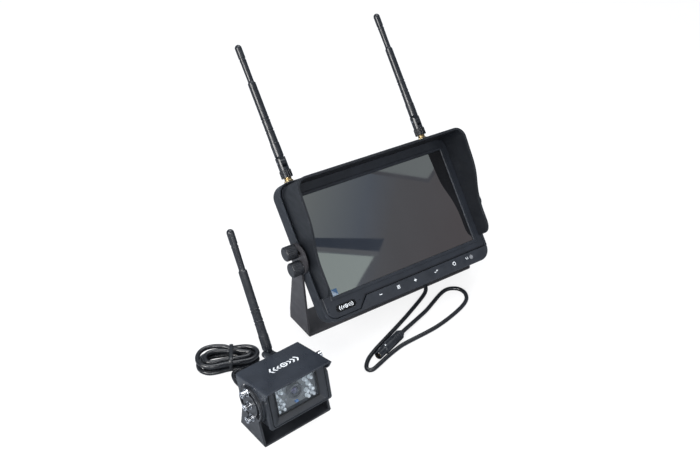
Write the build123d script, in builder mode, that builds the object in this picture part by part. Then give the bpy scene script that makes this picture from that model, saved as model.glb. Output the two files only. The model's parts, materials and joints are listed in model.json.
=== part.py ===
"""Wireless backup camera kit: a 7 inch monitor on a U bracket, its power lead, and a night camera.

Millimetres, +Z up. The origin is the middle of the monitor bracket's base, on the table.
+X is the viewer's right when looking at the screen, which faces -Y.
"""

import os
from math import cos, radians, sin

from build123d import *

os.makedirs("parts", exist_ok=True)

# ---------------------------------------------------------------- driving dimensions

# Monitor casing, in its own frame: u across, v up the screen, n out of the screen.
CASE_W = 182.0
CASE_BOTTOM = -61.5
CASE_TOP = 63.8
CASE_REAR = -15.0
CASE_RIM = 5.8
FRAME_TOP = 6.1
RIDGE_TOP = 6.8
CASE_RADIUS = 11.0
CASE_WALL = 2.2
REAR_ROUND = 8.0
GLASS_W = 156.0
GLASS_H = 89.0
GLASS_V = 4.1
KEY_V = -49.9

# Monitor bracket and the tilt that the monitor stands at.
TILT = 41.0
PIVOT_Z = 76.0
SHEET = 1.8
BASE_DEPTH = 32.0
ARM_IN = CASE_W / 2 + 0.3
ARM_OUT = ARM_IN + SHEET
EAR_RADIUS = 13.8
KNOB_SPACING = 14.4
KNOB_RADIUS = 6.4
KNOB_LENGTH = 9.6
STUD_RADIUS = 2.0
TILT_BACK = 60.0
TILT_FORWARD = -15.0

# Sunshade.
SHADE_W = 177.0
SHADE_TOP = 61.2
SHADE_WALL = 2.0
SHADE_RADIUS = 10.0

# Antennas.
ANTENNA_U = 72.5
ANTENNA_N = -6.0
JACK_STAND = 4.2
HINGE_S = 14.5
ROD_START_S = 19.4
ROD_TIP_S = 121.4

# Camera unit: where it stands, its turn, and the pitch of its face.
CAM_X = -158.1
CAM_Y = -86.6
CAM_YAW = 4.9
CAM_PITCH = 13.7
CAM_PIVOT_Y = 1.2
CAM_PIVOT_Z = 32.5
CAM_ARM_IN = 30.0
CAM_SHEET = 2.0
CAM_EAR_RADIUS = 14.6
CAM_SLOT_RADIUS = 11.4
BODY_W = 54.4
BODY_BOTTOM = -19.6
BODY_TOP = 16.4
BODY_REAR = -13.0
BODY_FRONT = 8.0
BEZEL_FRONT = 19.2
WINDOW_U = 0.5
WINDOW_V = 1.4

# Leads.
LEAD_RADIUS = 1.9
CABLE_RADIUS = 1.95

# ---------------------------------------------------------------- planes

TILT_SIN = sin(radians(TILT))
TILT_COS = cos(radians(TILT))
SCREEN = Plane(origin=(0, 0, PIVOT_Z), x_dir=(1, 0, 0), z_dir=(0, -TILT_COS, TILT_SIN))

CAM_FLOOR = Plane(
    origin=(CAM_X, CAM_Y, 0),
    x_dir=(cos(radians(CAM_YAW)), sin(radians(CAM_YAW)), 0),
    z_dir=(0, 0, 1),
)
CAM_PIVOT = CAM_FLOOR.from_local_coords(Vector(0, CAM_PIVOT_Y, CAM_PIVOT_Z))
CAM_FACE = Plane(
    origin=CAM_PIVOT,
    x_dir=CAM_FLOOR.x_dir,
    z_dir=CAM_FLOOR.z_dir * sin(radians(CAM_PITCH)) - CAM_FLOOR.y_dir * cos(radians(CAM_PITCH)),
)


def on(frame, u, v, n):
    """The point (u, v, n) of a frame, in the model's own frame."""
    return frame.from_local_coords(Vector(u, v, n))


def side_plane(frame, u, outward=1):
    """A plane square to a frame's u axis, its y up v: its x runs to the back, or to the front on the left."""
    return Plane(origin=on(frame, u, 0, 0), x_dir=frame.z_dir * -outward, z_dir=frame.x_dir * outward)


def arm_plane(frame, u):
    """The plane of a bracket arm: its x runs to the back and its y up."""
    return Plane(origin=on(frame, u, 0, 0), x_dir=frame.y_dir, z_dir=frame.x_dir)


def rear_plane(frame, u, v, n):
    """A plane that looks out of the back of a frame."""
    return Plane(origin=on(frame, u, v, n), x_dir=frame.x_dir * -1, z_dir=frame.z_dir * -1)


def save(piece, label):
    """Label a finished piece and write it as one STEP file."""
    piece.part.label = label
    export_step(piece.part, f"parts/{label}.step")


# ---------------------------------------------------------------- monitor bracket

SLOT_START = 90 - TILT_BACK - 2
SLOT_SIZE = TILT_BACK - TILT_FORWARD + 4
knob_arcs = [
    CenterArc((0, PIVOT_Z), KNOB_SPACING / 2, first + SLOT_START, SLOT_SIZE) for first in (0, 180)
]

with BuildPart() as monitor_bracket:
    with BuildSketch(Plane.XY):
        Rectangle(2 * ARM_OUT, BASE_DEPTH)
    extrude(amount=SHEET)
    for side in (-1, 1):
        start = ARM_IN if side == 1 else -ARM_OUT
        with BuildSketch(arm_plane(Plane.XY, start)):
            with BuildLine():
                Polyline((-16, 0), (16, 0), (16, 11.6), (9.4, 65), (-5.4, 65), close=True)
            make_face()
            with Locations((0, PIVOT_Z)):
                Circle(EAR_RADIUS)
            for arc in knob_arcs:
                SlotArc(arc, 2 * STUD_RADIUS + 0.5, mode=Mode.SUBTRACT)
        extrude(amount=SHEET)
    bends = monitor_bracket.edges().filter_by(Axis.Y).group_by(Axis.Z)[0]
    fillet(bends, SHEET * 0.9)
    with Locations((0, 0, SHEET)):
        with GridLocations(130, 16, 2, 2):
            Hole(2.25)

save(monitor_bracket, "monitor_bracket")

# ---------------------------------------------------------------- monitor casing


def casing_outline(shrink=0.0):
    """Draw the rounded outline of the casing, moved in by shrink."""
    height = CASE_TOP - CASE_BOTTOM
    with Locations((0, (CASE_TOP + CASE_BOTTOM) / 2)):
        RectangleRounded(CASE_W - 2 * shrink, height - 2 * shrink, CASE_RADIUS - shrink)


def key_outline(gap=0.0):
    """Draw the area of the key strip: below the screen frame, from its slanted end to the right."""
    Polygon(
        (-46.9 - gap, KEY_V + gap),
        (-57.6 - gap, -60.4),
        (-57.6 - gap, CASE_BOTTOM - 2),
        (CASE_W / 2 + 2, CASE_BOTTOM - 2),
        (CASE_W / 2 + 2, KEY_V + gap),
        align=None,
    )


SIDE_BLOCK_U = 87.4
INSERT_RADIUS = 2.9
INSERT_LENGTH = 7.0
BOARD_N = -9.0
SPEAKER = (-52.0, 12.0)
SPEAKER_RADIUS = 14.0
GROMMET = (38.0, -45.0)
SCREW_SPOTS = [(-58, 57.2), (58, 57.2), (-70, -53.6), (61, -54.4)]
POST_JOINT = -3.4
POST_START = 2.0
SCREW_END = 0.9
SHADE_SLOT_N = 3.2
SHADE_LOW = -38.5

with BuildPart() as casing_hollow:
    with BuildSketch(SCREEN.offset(CASE_REAR + CASE_WALL)):
        casing_outline(CASE_WALL)
    extrude(amount=CASE_RIM - CASE_REAR)
    hollow_back = casing_hollow.faces().sort_by(Axis(SCREEN.origin, SCREEN.z_dir))[0].edges()
    fillet(hollow_back, REAR_ROUND - CASE_WALL)

with BuildPart() as rear_cover:
    with BuildSketch(SCREEN.offset(CASE_REAR)):
        casing_outline()
    extrude(amount=CASE_RIM - CASE_REAR)
    back_edges = rear_cover.faces().sort_by(Axis(SCREEN.origin, SCREEN.z_dir))[0].edges()
    fillet(back_edges, REAR_ROUND)
    add(casing_hollow.part, mode=Mode.SUBTRACT)
    # The rim is thinner beside the sunshade, which leaves a dark gap round its foot.
    with BuildSketch(SCREEN.offset(SHADE_SLOT_N)):
        casing_outline(1.0)
        with Locations((0, SHADE_LOW - 50)):
            Rectangle(2 * CASE_W, 100, mode=Mode.SUBTRACT)
    extrude(amount=5, mode=Mode.SUBTRACT)
    with BuildSketch(SCREEN.offset(2.2)):
        key_outline(0.12)
    extrude(amount=10, mode=Mode.SUBTRACT)
    # Blocks in the side walls that hold the brass inserts of the knobs.
    for side in (-1, 1):
        with BuildSketch(SCREEN.offset(-5.2)):
            with Locations((side * SIDE_BLOCK_U, 0)):
                Rectangle(7.2, 26)
        extrude(amount=8.9)
        for v in (-KNOB_SPACING / 2, KNOB_SPACING / 2):
            with BuildSketch(side_plane(SCREEN, side * 80, side)):
                with Locations((0, v)):
                    Circle(INSERT_RADIUS)
            extrude(amount=CASE_W / 2 - 80, mode=Mode.SUBTRACT)
    # Screw posts, from the back plate to the screen frame.
    for u, v in SCREW_SPOTS:
        with BuildSketch(SCREEN.offset(CASE_REAR + POST_START)):
            with Locations((u, v)):
                Circle(3.6)
        extrude(amount=POST_JOINT - CASE_REAR - POST_START)
        with BuildSketch(SCREEN.offset(CASE_REAR)):
            with Locations((u, v)):
                Circle(1.6)
        extrude(amount=POST_JOINT - CASE_REAR + 1, mode=Mode.SUBTRACT)
        with BuildSketch(SCREEN.offset(CASE_REAR)):
            with Locations((u, v)):
                Circle(3.1)
        extrude(amount=3.0, mode=Mode.SUBTRACT)
    # Sound holes of the speaker, cooling slots, and the hole of the lead.
    with BuildSketch(SCREEN.offset(CASE_REAR)):
        with Locations(SPEAKER):
            with PolarLocations(7.5, 8):
                Circle(1.0)
            with PolarLocations(3.6, 4):
                Circle(1.0)
        with Locations(GROMMET):
            Circle(3.6)
    extrude(amount=CASE_WALL, mode=Mode.SUBTRACT)
    with BuildSketch(SCREEN.offset(CASE_REAR)):
        with Locations((20, 30)):
            with GridLocations(5.0, 20, 12, 1):
                SlotOverall(18, 1.8, rotation=90)
    extrude(amount=CASE_WALL, mode=Mode.SUBTRACT)
    # Antenna jack holes in the top wall.
    for side in (-1, 1):
        jack_plane = Plane(
            origin=on(SCREEN, side * ANTENNA_U, CASE_TOP - 3, ANTENNA_N),
            x_dir=SCREEN.x_dir,
            z_dir=SCREEN.y_dir,
        )
        with BuildSketch(jack_plane):
            Circle(3.3)
        extrude(amount=5, mode=Mode.SUBTRACT)

save(rear_cover, "rear_cover")

FRAME_BACK = 2.6
GROOVE_FLOOR = 4.7
FRAME_EDGE = CASE_WALL + 0.4
RIDGE_W = 3.0
KEY_GROOVE = 2.0
BADGE = (-69.3, -51.7)

with BuildPart() as front_frame:
    with BuildSketch(SCREEN.offset(FRAME_BACK)):
        casing_outline(FRAME_EDGE)
        with Locations((0, GLASS_V)):
            Rectangle(GLASS_W + 0.4, GLASS_H + 0.4, mode=Mode.SUBTRACT)
    extrude(amount=FRAME_TOP - FRAME_BACK)
    rim = front_frame.faces().sort_by(Axis(SCREEN.origin, SCREEN.z_dir))[-1].edges()
    chamfer(rim, 0.6)
    # Raised ridge round the glass.
    with BuildSketch(SCREEN.offset(FRAME_TOP - 0.5)):
        with Locations((0, GLASS_V)):
            Rectangle(GLASS_W + 2 * RIDGE_W, GLASS_H + 2 * RIDGE_W)
            Rectangle(GLASS_W + 0.4, GLASS_H + 0.4, mode=Mode.SUBTRACT)
    extrude(amount=RIDGE_TOP - FRAME_TOP + 0.5)
    ridge_rim = front_frame.faces().sort_by(Axis(SCREEN.origin, SCREEN.z_dir))[-1].edges()
    chamfer(ridge_rim, 0.4)
    # The key strip's place, and the open groove along it.
    for start, gap in ((FRAME_BACK, 0.6), (GROOVE_FLOOR, KEY_GROOVE)):
        with BuildSketch(SCREEN.offset(start)):
            key_outline(gap)
        extrude(amount=10, mode=Mode.SUBTRACT)
    # Step that the sunshade plugs onto: up both sides and over the top.
    with BuildSketch(SCREEN.offset(GROOVE_FLOOR)):
        with Locations((0, SHADE_TOP - 55)):
            Rectangle(CASE_W + 20, 130)
            RectangleRounded(
                SHADE_W - 2 * SHADE_WALL - 0.6,
                110 - 2 * SHADE_WALL - 0.6,
                SHADE_RADIUS - SHADE_WALL,
                mode=Mode.SUBTRACT,
            )
        with Locations((0, SHADE_LOW - 0.3 - 50)):
            Rectangle(2 * CASE_W, 100, mode=Mode.SUBTRACT)
    extrude(amount=5, mode=Mode.SUBTRACT)
    for u, v in SCREW_SPOTS[:3]:
        with BuildSketch(SCREEN.offset(POST_JOINT + 0.1)):
            with Locations((u, v)):
                Circle(3.2)
        extrude(amount=FRAME_BACK - POST_JOINT)
        with BuildSketch(SCREEN.offset(POST_JOINT)):
            with Locations((u, v)):
                Circle(1.55)
        extrude(amount=5.4, mode=Mode.SUBTRACT)
    # Room for the blocks of the knob inserts.
    for side in (-1, 1):
        with BuildSketch(SCREEN.offset(FRAME_BACK)):
            with Locations((side * SIDE_BLOCK_U, 0)):
                Rectangle(8, 27)
        extrude(amount=1.4, mode=Mode.SUBTRACT)
    # Seat of the badge plate, the microphone hole and the two small end dots.
    with BuildSketch(SCREEN.offset(FRAME_TOP - 0.8)):
        with Locations(BADGE):
            SlotOverall(20.8, 7.0)
        with Locations((-55.5, -51.4)):
            Circle(0.8)
        for v in (-48.9, -51.3):
            with Locations((-86.6, v)):
                Circle(0.5)
    extrude(amount=2, mode=Mode.SUBTRACT)

save(front_frame, "front_frame")

with BuildPart() as badge_plate:
    with BuildSketch(SCREEN.offset(FRAME_TOP - 0.75)):
        with Locations(BADGE):
            SlotOverall(19.6, 5.8)
    extrude(amount=0.55)

save(badge_plate, "badge_plate")

IR_SPOT = (69.3, -54.6)

with BuildPart() as key_strip:
    with BuildSketch(SCREEN.offset(2.35)):
        casing_outline()
    extrude(amount=FRAME_TOP - 0.1 - 2.35)
    key_rim = key_strip.faces().sort_by(Axis(SCREEN.origin, SCREEN.z_dir))[-1].edges()
    fillet(key_rim, 1.2)
    with BuildSketch(SCREEN):
        key_outline()
    extrude(amount=20, mode=Mode.INTERSECT)
    with BuildSketch(SCREEN):
        with Locations(IR_SPOT):
            Circle(2.1)
    extrude(amount=20, mode=Mode.SUBTRACT)
    with BuildSketch(SCREEN.offset(POST_JOINT + 0.1)):
        with Locations(SCREW_SPOTS[3]):
            Circle(3.2)
    extrude(amount=2.4 - POST_JOINT)
    with BuildSketch(SCREEN.offset(POST_JOINT)):
        with Locations(SCREW_SPOTS[3]):
            Circle(1.55)
    extrude(amount=5.4, mode=Mode.SUBTRACT)

save(key_strip, "key_strip")

with BuildPart() as ir_window:
    with BuildSketch(SCREEN.offset(3.0)):
        with Locations(IR_SPOT):
            Circle(2.0)
    extrude(amount=2.9)

save(ir_window, "ir_window")

with BuildPart() as lcd_panel:
    with BuildSketch(SCREEN.offset(-1.6)):
        with Locations((0, GLASS_V)):
            Rectangle(164, 99)
    extrude(amount=4.1)
    with BuildSketch(SCREEN.offset(2.5)):
        with Locations((0, GLASS_V)):
            Rectangle(155, 88)
    extrude(amount=2.0)

save(lcd_panel, "lcd_panel")

with BuildPart() as lcd_glass:
    with BuildSketch(SCREEN.offset(4.6)):
        with Locations((0, GLASS_V)):
            Rectangle(GLASS_W, GLASS_H)
    extrude(amount=1.1)

save(lcd_glass, "lcd_glass")

with BuildPart() as film_tab:
    with BuildSketch(SCREEN.offset(5.75)):
        with Locations((-75.0, -37.4)):
            Rectangle(5.5, 5.9)
    extrude(amount=0.15)

save(film_tab, "film_tab")

with BuildPart() as main_board:
    with BuildSketch(SCREEN.offset(BOARD_N)):
        with Locations((18, 8)):
            Rectangle(96, 62)
    extrude(amount=1.6)
    with BuildSketch(SCREEN.offset(BOARD_N - 1.6)):
        with Locations((0, 0)):
            Rectangle(12, 12)
        with Locations((40, 14)):
            Rectangle(16, 9)
        with Locations((24, -12)):
            Rectangle(10, 8)
    extrude(amount=1.6)

save(main_board, "main_board")

with BuildPart() as touch_board:
    with BuildSketch(SCREEN.offset(0.9)):
        with Locations((10, -54.0)):
            Rectangle(92, 6.4)
    extrude(amount=1.2)

save(touch_board, "touch_board")

with BuildPart() as speaker:
    with BuildSketch(SCREEN.offset(CASE_REAR + CASE_WALL + 0.1)):
        with Locations(SPEAKER):
            Circle(SPEAKER_RADIUS)
            Circle(SPEAKER_RADIUS - 3.5, mode=Mode.SUBTRACT)
    extrude(amount=2.0)
    with BuildSketch(SCREEN.offset(CASE_REAR + CASE_WALL + 2.1)):
        with Locations(SPEAKER):
            Circle(SPEAKER_RADIUS)
    extrude(amount=1.2)
    with BuildSketch(SCREEN.offset(CASE_REAR + CASE_WALL + 3.3)):
        with Locations(SPEAKER):
            Circle(8)
    extrude(amount=3.5)

save(speaker, "speaker")

with BuildPart() as rear_screws:
    for u, v in SCREW_SPOTS:
        with BuildSketch(SCREEN.offset(CASE_REAR + 1.0)):
            with Locations((u, v)):
                Circle(2.8)
        extrude(amount=1.95)
        with BuildSketch(SCREEN.offset(CASE_REAR + 1.0)):
            with Locations((u, v)):
                Rectangle(3.2, 0.8)
                Rectangle(0.8, 3.2)
        extrude(amount=1.0, mode=Mode.SUBTRACT)
        with BuildSketch(SCREEN.offset(CASE_REAR + 2.9)):
            with Locations((u, v)):
                Circle(1.5)
        extrude(amount=SCREW_END - CASE_REAR - 2.9)

save(rear_screws, "rear_screws")

# ---------------------------------------------------------------- knobs, inserts and washers

with BuildPart() as side_inserts:
    for side in (-1, 1):
        for v in (-KNOB_SPACING / 2, KNOB_SPACING / 2):
            with BuildSketch(side_plane(SCREEN, side * (CASE_W / 2 - 0.2 - INSERT_LENGTH), side)):
                with Locations((0, v)):
                    Circle(INSERT_RADIUS - 0.02)
                    Circle(STUD_RADIUS + 0.06, mode=Mode.SUBTRACT)
            extrude(amount=INSERT_LENGTH)

save(side_inserts, "side_inserts")

WASHER = 0.7

with BuildPart() as knob_washers:
    for side in (-1, 1):
        for v in (-KNOB_SPACING / 2, KNOB_SPACING / 2):
            with BuildSketch(side_plane(SCREEN, side * (ARM_OUT + 0.05), side)):
                with Locations((0, v)):
                    Circle(5.0)
                    Circle(STUD_RADIUS + 0.1, mode=Mode.SUBTRACT)
            extrude(amount=WASHER)

save(knob_washers, "knob_washers")


def build_knob(side, v):
    """A fluted hand knob: a domed head on a hub, and its moulded-in steel stud as a second solid."""
    seat = ARM_OUT + 0.05 + WASHER + 0.1
    with BuildPart() as knob:
        with BuildSketch(side_plane(SCREEN, side * seat, side)):
            with Locations((0, v)):
                Circle(KNOB_RADIUS)
        extrude(amount=KNOB_LENGTH)
        crown = knob.faces().sort_by(Axis(SCREEN.origin, SCREEN.x_dir * side))[-1].edges()
        fillet(crown, 1.3)
        with BuildSketch(side_plane(SCREEN, side * (seat + 3.0), side)):
            with Locations((0, v)):
                with PolarLocations(KNOB_RADIUS + 0.35, 24):
                    Circle(0.62)
        extrude(amount=KNOB_LENGTH, mode=Mode.SUBTRACT)
        with BuildSketch(side_plane(SCREEN, side * seat, side)):
            with Locations((0, v)):
                Circle(STUD_RADIUS)
        extrude(amount=5.0, mode=Mode.SUBTRACT)
    stud_start = CASE_W / 2 - 5.6
    with BuildPart() as stud:
        with BuildSketch(side_plane(SCREEN, side * stud_start, side)):
            with Locations((0, v)):
                Circle(STUD_RADIUS)
        extrude(amount=seat + 5.0 - stud_start)
    return Compound(children=[knob.part, stud.part])


for side_name, side in (("left", -1), ("right", 1)):
    for level_name, level in (("upper", 1), ("lower", -1)):
        knob_part = build_knob(side, level * KNOB_SPACING / 2)
        knob_part.label = f"knob_{side_name}_{level_name}"
        export_step(knob_part, f"parts/{knob_part.label}.step")

# ---------------------------------------------------------------- sunshade

SHADE_FOOT = 5.0

with BuildPart() as sunshade:
    with BuildSketch(SCREEN.offset(SHADE_FOOT)):
        with Locations((0, SHADE_TOP - 55)):
            RectangleRounded(SHADE_W, 110, SHADE_RADIUS)
            RectangleRounded(
                SHADE_W - 2 * SHADE_WALL,
                110 - 2 * SHADE_WALL,
                SHADE_RADIUS - SHADE_WALL,
                mode=Mode.SUBTRACT,
            )
    extrude(amount=40)
    # The side profile: deep at the top, then stepping back in a soft curve to the lower corner.
    with BuildSketch(side_plane(SCREEN, -100, 1)):
        with BuildLine():
            Polyline((-SHADE_FOOT, 70), (-38.2, 70), (-38.2, 55.0))
            Spline(
                (-38.2, 55.0),
                (-37.4, 42.0),
                (-36.2, 27.5),
                (-33.8, 17.0),
                (-29.4, 7.0),
                (-25.4, -4.5),
                (-23.7, -16.0),
                (-23.6, -27.0),
                tangents=((0, -1), (0, -1)),
            )
            Spline(
                (-23.6, -27.0),
                (-21.6, -34.4),
                (-13.0, SHADE_LOW),
                tangents=((0, -1), (1, 0)),
            )
            Polyline((-13.0, SHADE_LOW), (-SHADE_FOOT, SHADE_LOW), (-SHADE_FOOT, 70))
        make_face()
    extrude(amount=200, mode=Mode.INTERSECT)

save(sunshade, "sunshade")

# ---------------------------------------------------------------- antennas and their jacks

THREAD_RADIUS = 3.1
JACK_TOP_S = 4.0
FORK_RADIUS = 4.5
FORK_GAP = 4.3
TONGUE = 4.1
PIN_RADIUS = 1.0
NUT_START_S = 0.7
NUT_END_S = 7.0


def antenna_foot(frame, u, v, n, direction):
    """The plane at the foot of an antenna: its z along the foot's axis, its x along the fold's pin."""
    return Plane(origin=on(frame, u, v, n), x_dir=frame.x_dir, z_dir=direction)


def build_nut(foot):
    """The fluted coupling nut, captive on the neck of the hinge barrel."""
    with BuildPart() as nut:
        with BuildSketch(foot.offset(NUT_START_S)):
            Circle(5.2)
            with PolarLocations(5.45, 18):
                Circle(0.55, mode=Mode.SUBTRACT)
        extrude(amount=NUT_END_S - NUT_START_S)
        with BuildSketch(foot.offset(NUT_START_S)):
            Circle(THREAD_RADIUS + 0.07)
        extrude(amount=5.0, mode=Mode.SUBTRACT)
        with BuildSketch(foot.offset(NUT_START_S)):
            Circle(2.15)
        extrude(amount=10, mode=Mode.SUBTRACT)
    return nut


def build_barrel(foot):
    """The swivelling hinge barrel: centre pin, captive neck, body and a fork for the rod."""
    with BuildPart() as barrel:
        for start, end, radius in (
            (1.4, 4.4, 0.45),
            (4.3, 5.5, 2.9),
            (5.4, 7.3, 2.08),
            (7.2, HINGE_S + FORK_RADIUS, FORK_RADIUS),
        ):
            with BuildSketch(foot.offset(start)):
                Circle(radius)
            extrude(amount=end - start)
        hinge = foot.offset(HINGE_S)
        across = Plane(origin=hinge.origin - hinge.x_dir * 10, x_dir=hinge.y_dir, z_dir=hinge.x_dir)
        with BuildSketch(across):
            with Locations((0, -10)):
                Rectangle(2 * FORK_RADIUS + 1, 20)
            Circle(FORK_RADIUS)
        extrude(amount=20, mode=Mode.INTERSECT)
        with BuildSketch(foot.offset(9.8)):
            Rectangle(FORK_GAP, 12)
        extrude(amount=12, mode=Mode.SUBTRACT)
        with BuildSketch(across):
            Circle(PIN_RADIUS + 0.01)
        extrude(amount=20, mode=Mode.SUBTRACT)
    return barrel


def build_pin(foot):
    """The cross pin of the fold."""
    hinge = foot.offset(HINGE_S)
    across = Plane(origin=hinge.origin - hinge.x_dir * 4.3, x_dir=hinge.y_dir, z_dir=hinge.x_dir)
    with BuildPart() as pin:
        with BuildSketch(across):
            Circle(PIN_RADIUS)
        extrude(amount=8.6)
    return pin


def build_rod(foot, fold):
    """The antenna rod, folded by an angle about its pin: tongue, stepped sleeve and rounded tip."""
    hinge = foot.offset(HINGE_S)
    along = hinge.z_dir * cos(radians(fold)) - hinge.y_dir * sin(radians(fold))
    rod_frame = Plane(origin=hinge.origin, x_dir=hinge.x_dir, z_dir=along)
    profile_plane = Plane(origin=rod_frame.origin, x_dir=rod_frame.x_dir, z_dir=rod_frame.y_dir * -1)
    start = ROD_START_S - HINGE_S
    tip = ROD_TIP_S - HINGE_S
    with BuildPart() as rod:
        with BuildSketch(profile_plane):
            with BuildLine():
                Polyline(
                    (0, start),
                    (3.6, start),
                    (4.0, start + 0.5),
                    (4.0, 17.2),
                    (3.75, 17.6),
                    (3.65, 26.9),
                    (3.85, 27.1),
                    (3.85, 27.9),
                    (3.4, 28.2),
                    (3.4, 29.4),
                    (3.8, 29.7),
                    (3.8, 30.5),
                    (3.6, 30.7),
                    (3.55, 37.2),
                    (3.8, 37.4),
                    (3.8, 38.2),
                    (3.35, 38.5),
                    (3.35, 39.7),
                    (3.75, 40.0),
                    (3.75, 40.8),
                    (3.5, 41.0),
                    (3.45, 72.0),
                    (2.75, 72.9),
                    (2.6, 74.0),
                    (2.75, 91.8),
                    (2.95, 92.0),
                    (2.95, 92.8),
                    (2.6, 93.0),
                    (2.6, 94.4),
                    (3.0, 94.7),
                    (3.0, tip - 3.0),
                )
                CenterArc((0, tip - 3.0), 3.0, 0, 90)
                Line((0, tip), (0, start))
            make_face()
        revolve(axis=Axis(rod_frame.origin, rod_frame.z_dir))
        # The tongue between the fork's cheeks, and the bore of the pin.
        middle = Plane(origin=rod_frame.origin, x_dir=rod_frame.y_dir, z_dir=rod_frame.x_dir)
        with BuildSketch(middle):
            Circle(4.2)
            with Locations((0, 3)):
                Rectangle(7.6, 6)
        extrude(amount=TONGUE / 2, both=True)
        with BuildSketch(middle):
            Circle(PIN_RADIUS + 0.04)
        extrude(amount=5, both=True, mode=Mode.SUBTRACT)
        # A shallow flat on the front and back of the sleeve's foot.
        for face in (-1, 1):
            flat_plane = Plane(
                origin=rod_frame.origin + rod_frame.x_dir * (3.7 * face),
                x_dir=rod_frame.z_dir,
                z_dir=rod_frame.x_dir * face,
            )
            with BuildSketch(flat_plane):
                with Locations((12.2, 0)):
                    SlotOverall(9.6, 3.6)
            extrude(amount=2, mode=Mode.SUBTRACT)
    return rod


MONITOR_FOOT_V = CASE_TOP + JACK_STAND
CAM_FOOT_N = -16.2
CAM_ANTENNA_U = 8.7
CAM_ANTENNA_V = 12.2
CAM_FOLD = 77.4

antennas = (
    ("left", antenna_foot(SCREEN, -ANTENNA_U, MONITOR_FOOT_V, ANTENNA_N, SCREEN.y_dir), 0),
    ("right", antenna_foot(SCREEN, ANTENNA_U, MONITOR_FOOT_V, ANTENNA_N, SCREEN.y_dir), 0),
    (
        "cam",
        antenna_foot(CAM_FACE, CAM_ANTENNA_U, CAM_ANTENNA_V, CAM_FOOT_N, CAM_FACE.z_dir * -1),
        CAM_FOLD,
    ),
)

for antenna, foot, fold in antennas:
    save(build_nut(foot), f"{antenna}_antenna_nut")
    save(build_barrel(foot), f"{antenna}_antenna_barrel")
    save(build_pin(foot), f"{antenna}_antenna_pin")
    save(build_rod(foot, fold), f"{antenna}_antenna_rod")

HEX_START = 0.08

with BuildPart() as antenna_jacks:
    for _, foot, _ in antennas[:2]:
        wall = foot.offset(-JACK_STAND)
        with BuildSketch(wall.offset(-8)):
            Circle(THREAD_RADIUS)
        extrude(amount=8 + JACK_STAND + JACK_TOP_S)
        with BuildSketch(wall.offset(-CASE_WALL - 3.4)):
            Circle(4.4)
        extrude(amount=2.0)
        with BuildSketch(wall.offset(HEX_START)):
            RegularPolygon(4.6, 6)
        extrude(amount=2.0)
        with BuildSketch(foot.offset(-1)):
            Circle(0.55)
        extrude(amount=10, mode=Mode.SUBTRACT)

save(antenna_jacks, "antenna_jacks")

# ---------------------------------------------------------------- power lead and plug

GROMMET_PLANE = rear_plane(SCREEN, GROMMET[0], GROMMET[1], CASE_REAR)

with BuildPart() as lead_grommet:
    for start, end, radius in ((0.05, 1.8, 5.2), (-2.3, 0.06, 3.5), (-3.6, -2.29, 4.6)):
        with BuildSketch(GROMMET_PLANE.offset(start)):
            Circle(radius)
        extrude(amount=end - start)
    outward = Axis(GROMMET_PLANE.origin, GROMMET_PLANE.z_dir)
    fillet(lead_grommet.edges().filter_by(GeomType.CIRCLE).sort_by(outward)[-1], 0.8)
    with BuildSketch(GROMMET_PLANE.offset(-6)):
        Circle(LEAD_RADIUS + 0.05)
    extrude(amount=12, mode=Mode.SUBTRACT)

save(lead_grommet, "lead_grommet")

with BuildPart() as lead_tail:
    with BuildSketch(GROMMET_PLANE.offset(-6)):
        Circle(LEAD_RADIUS)
    extrude(amount=11)

save(lead_tail, "lead_tail")

PLUG_Z = 4.6
PLUG_BACK = Vector(-26.8, -61.2, PLUG_Z)
PLUG_DIR = Vector(-0.938, -0.348, 0).normalized()
PLUG = Plane(origin=PLUG_BACK, x_dir=(0, 0, 1), z_dir=PLUG_DIR)
BOOT_LENGTH = 2.4


def plug_point(s):
    """A point on the plug's axis, s along it from the back of its barrel."""
    return PLUG_BACK + PLUG_DIR * s


with BuildPart() as power_lead:
    with BuildLine() as lead_path:
        FilletPolyline(
            (39.0, 8.0, 4.0),
            (38.4, -18.0, 4.0),
            (27.0, -26.0, 1.95),
            (2.0, -37.2, 1.95),
            (-36.4, -54.9, 1.95),
            (-67.0, -66.6, 1.95),
            (-77.4, -76.0, 1.95),
            (-72.6, -83.2, 1.95),
            (-52.4, -76.6, 1.95),
            (-34.0, -71.6, 1.95),
            (-2.0, -69.4, 1.95),
            (27.0, -65.2, 1.95),
            (50.0, -57.8, 1.95),
            (61.6, -48.0, 1.95),
            (60.8, -36.0, 1.95),
            (53.0, -31.2, 1.95),
            (41.0, -33.2, 1.95),
            (14.0, -46.6, 2.2),
            plug_point(-BOOT_LENGTH - 11.0),
            plug_point(-BOOT_LENGTH + 1.0),
            radius=3.4,
        )
    with BuildSketch(Plane(origin=lead_path.line @ 0, z_dir=lead_path.line % 0)):
        Circle(LEAD_RADIUS)
    sweep()

save(power_lead, "power_lead")

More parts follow.
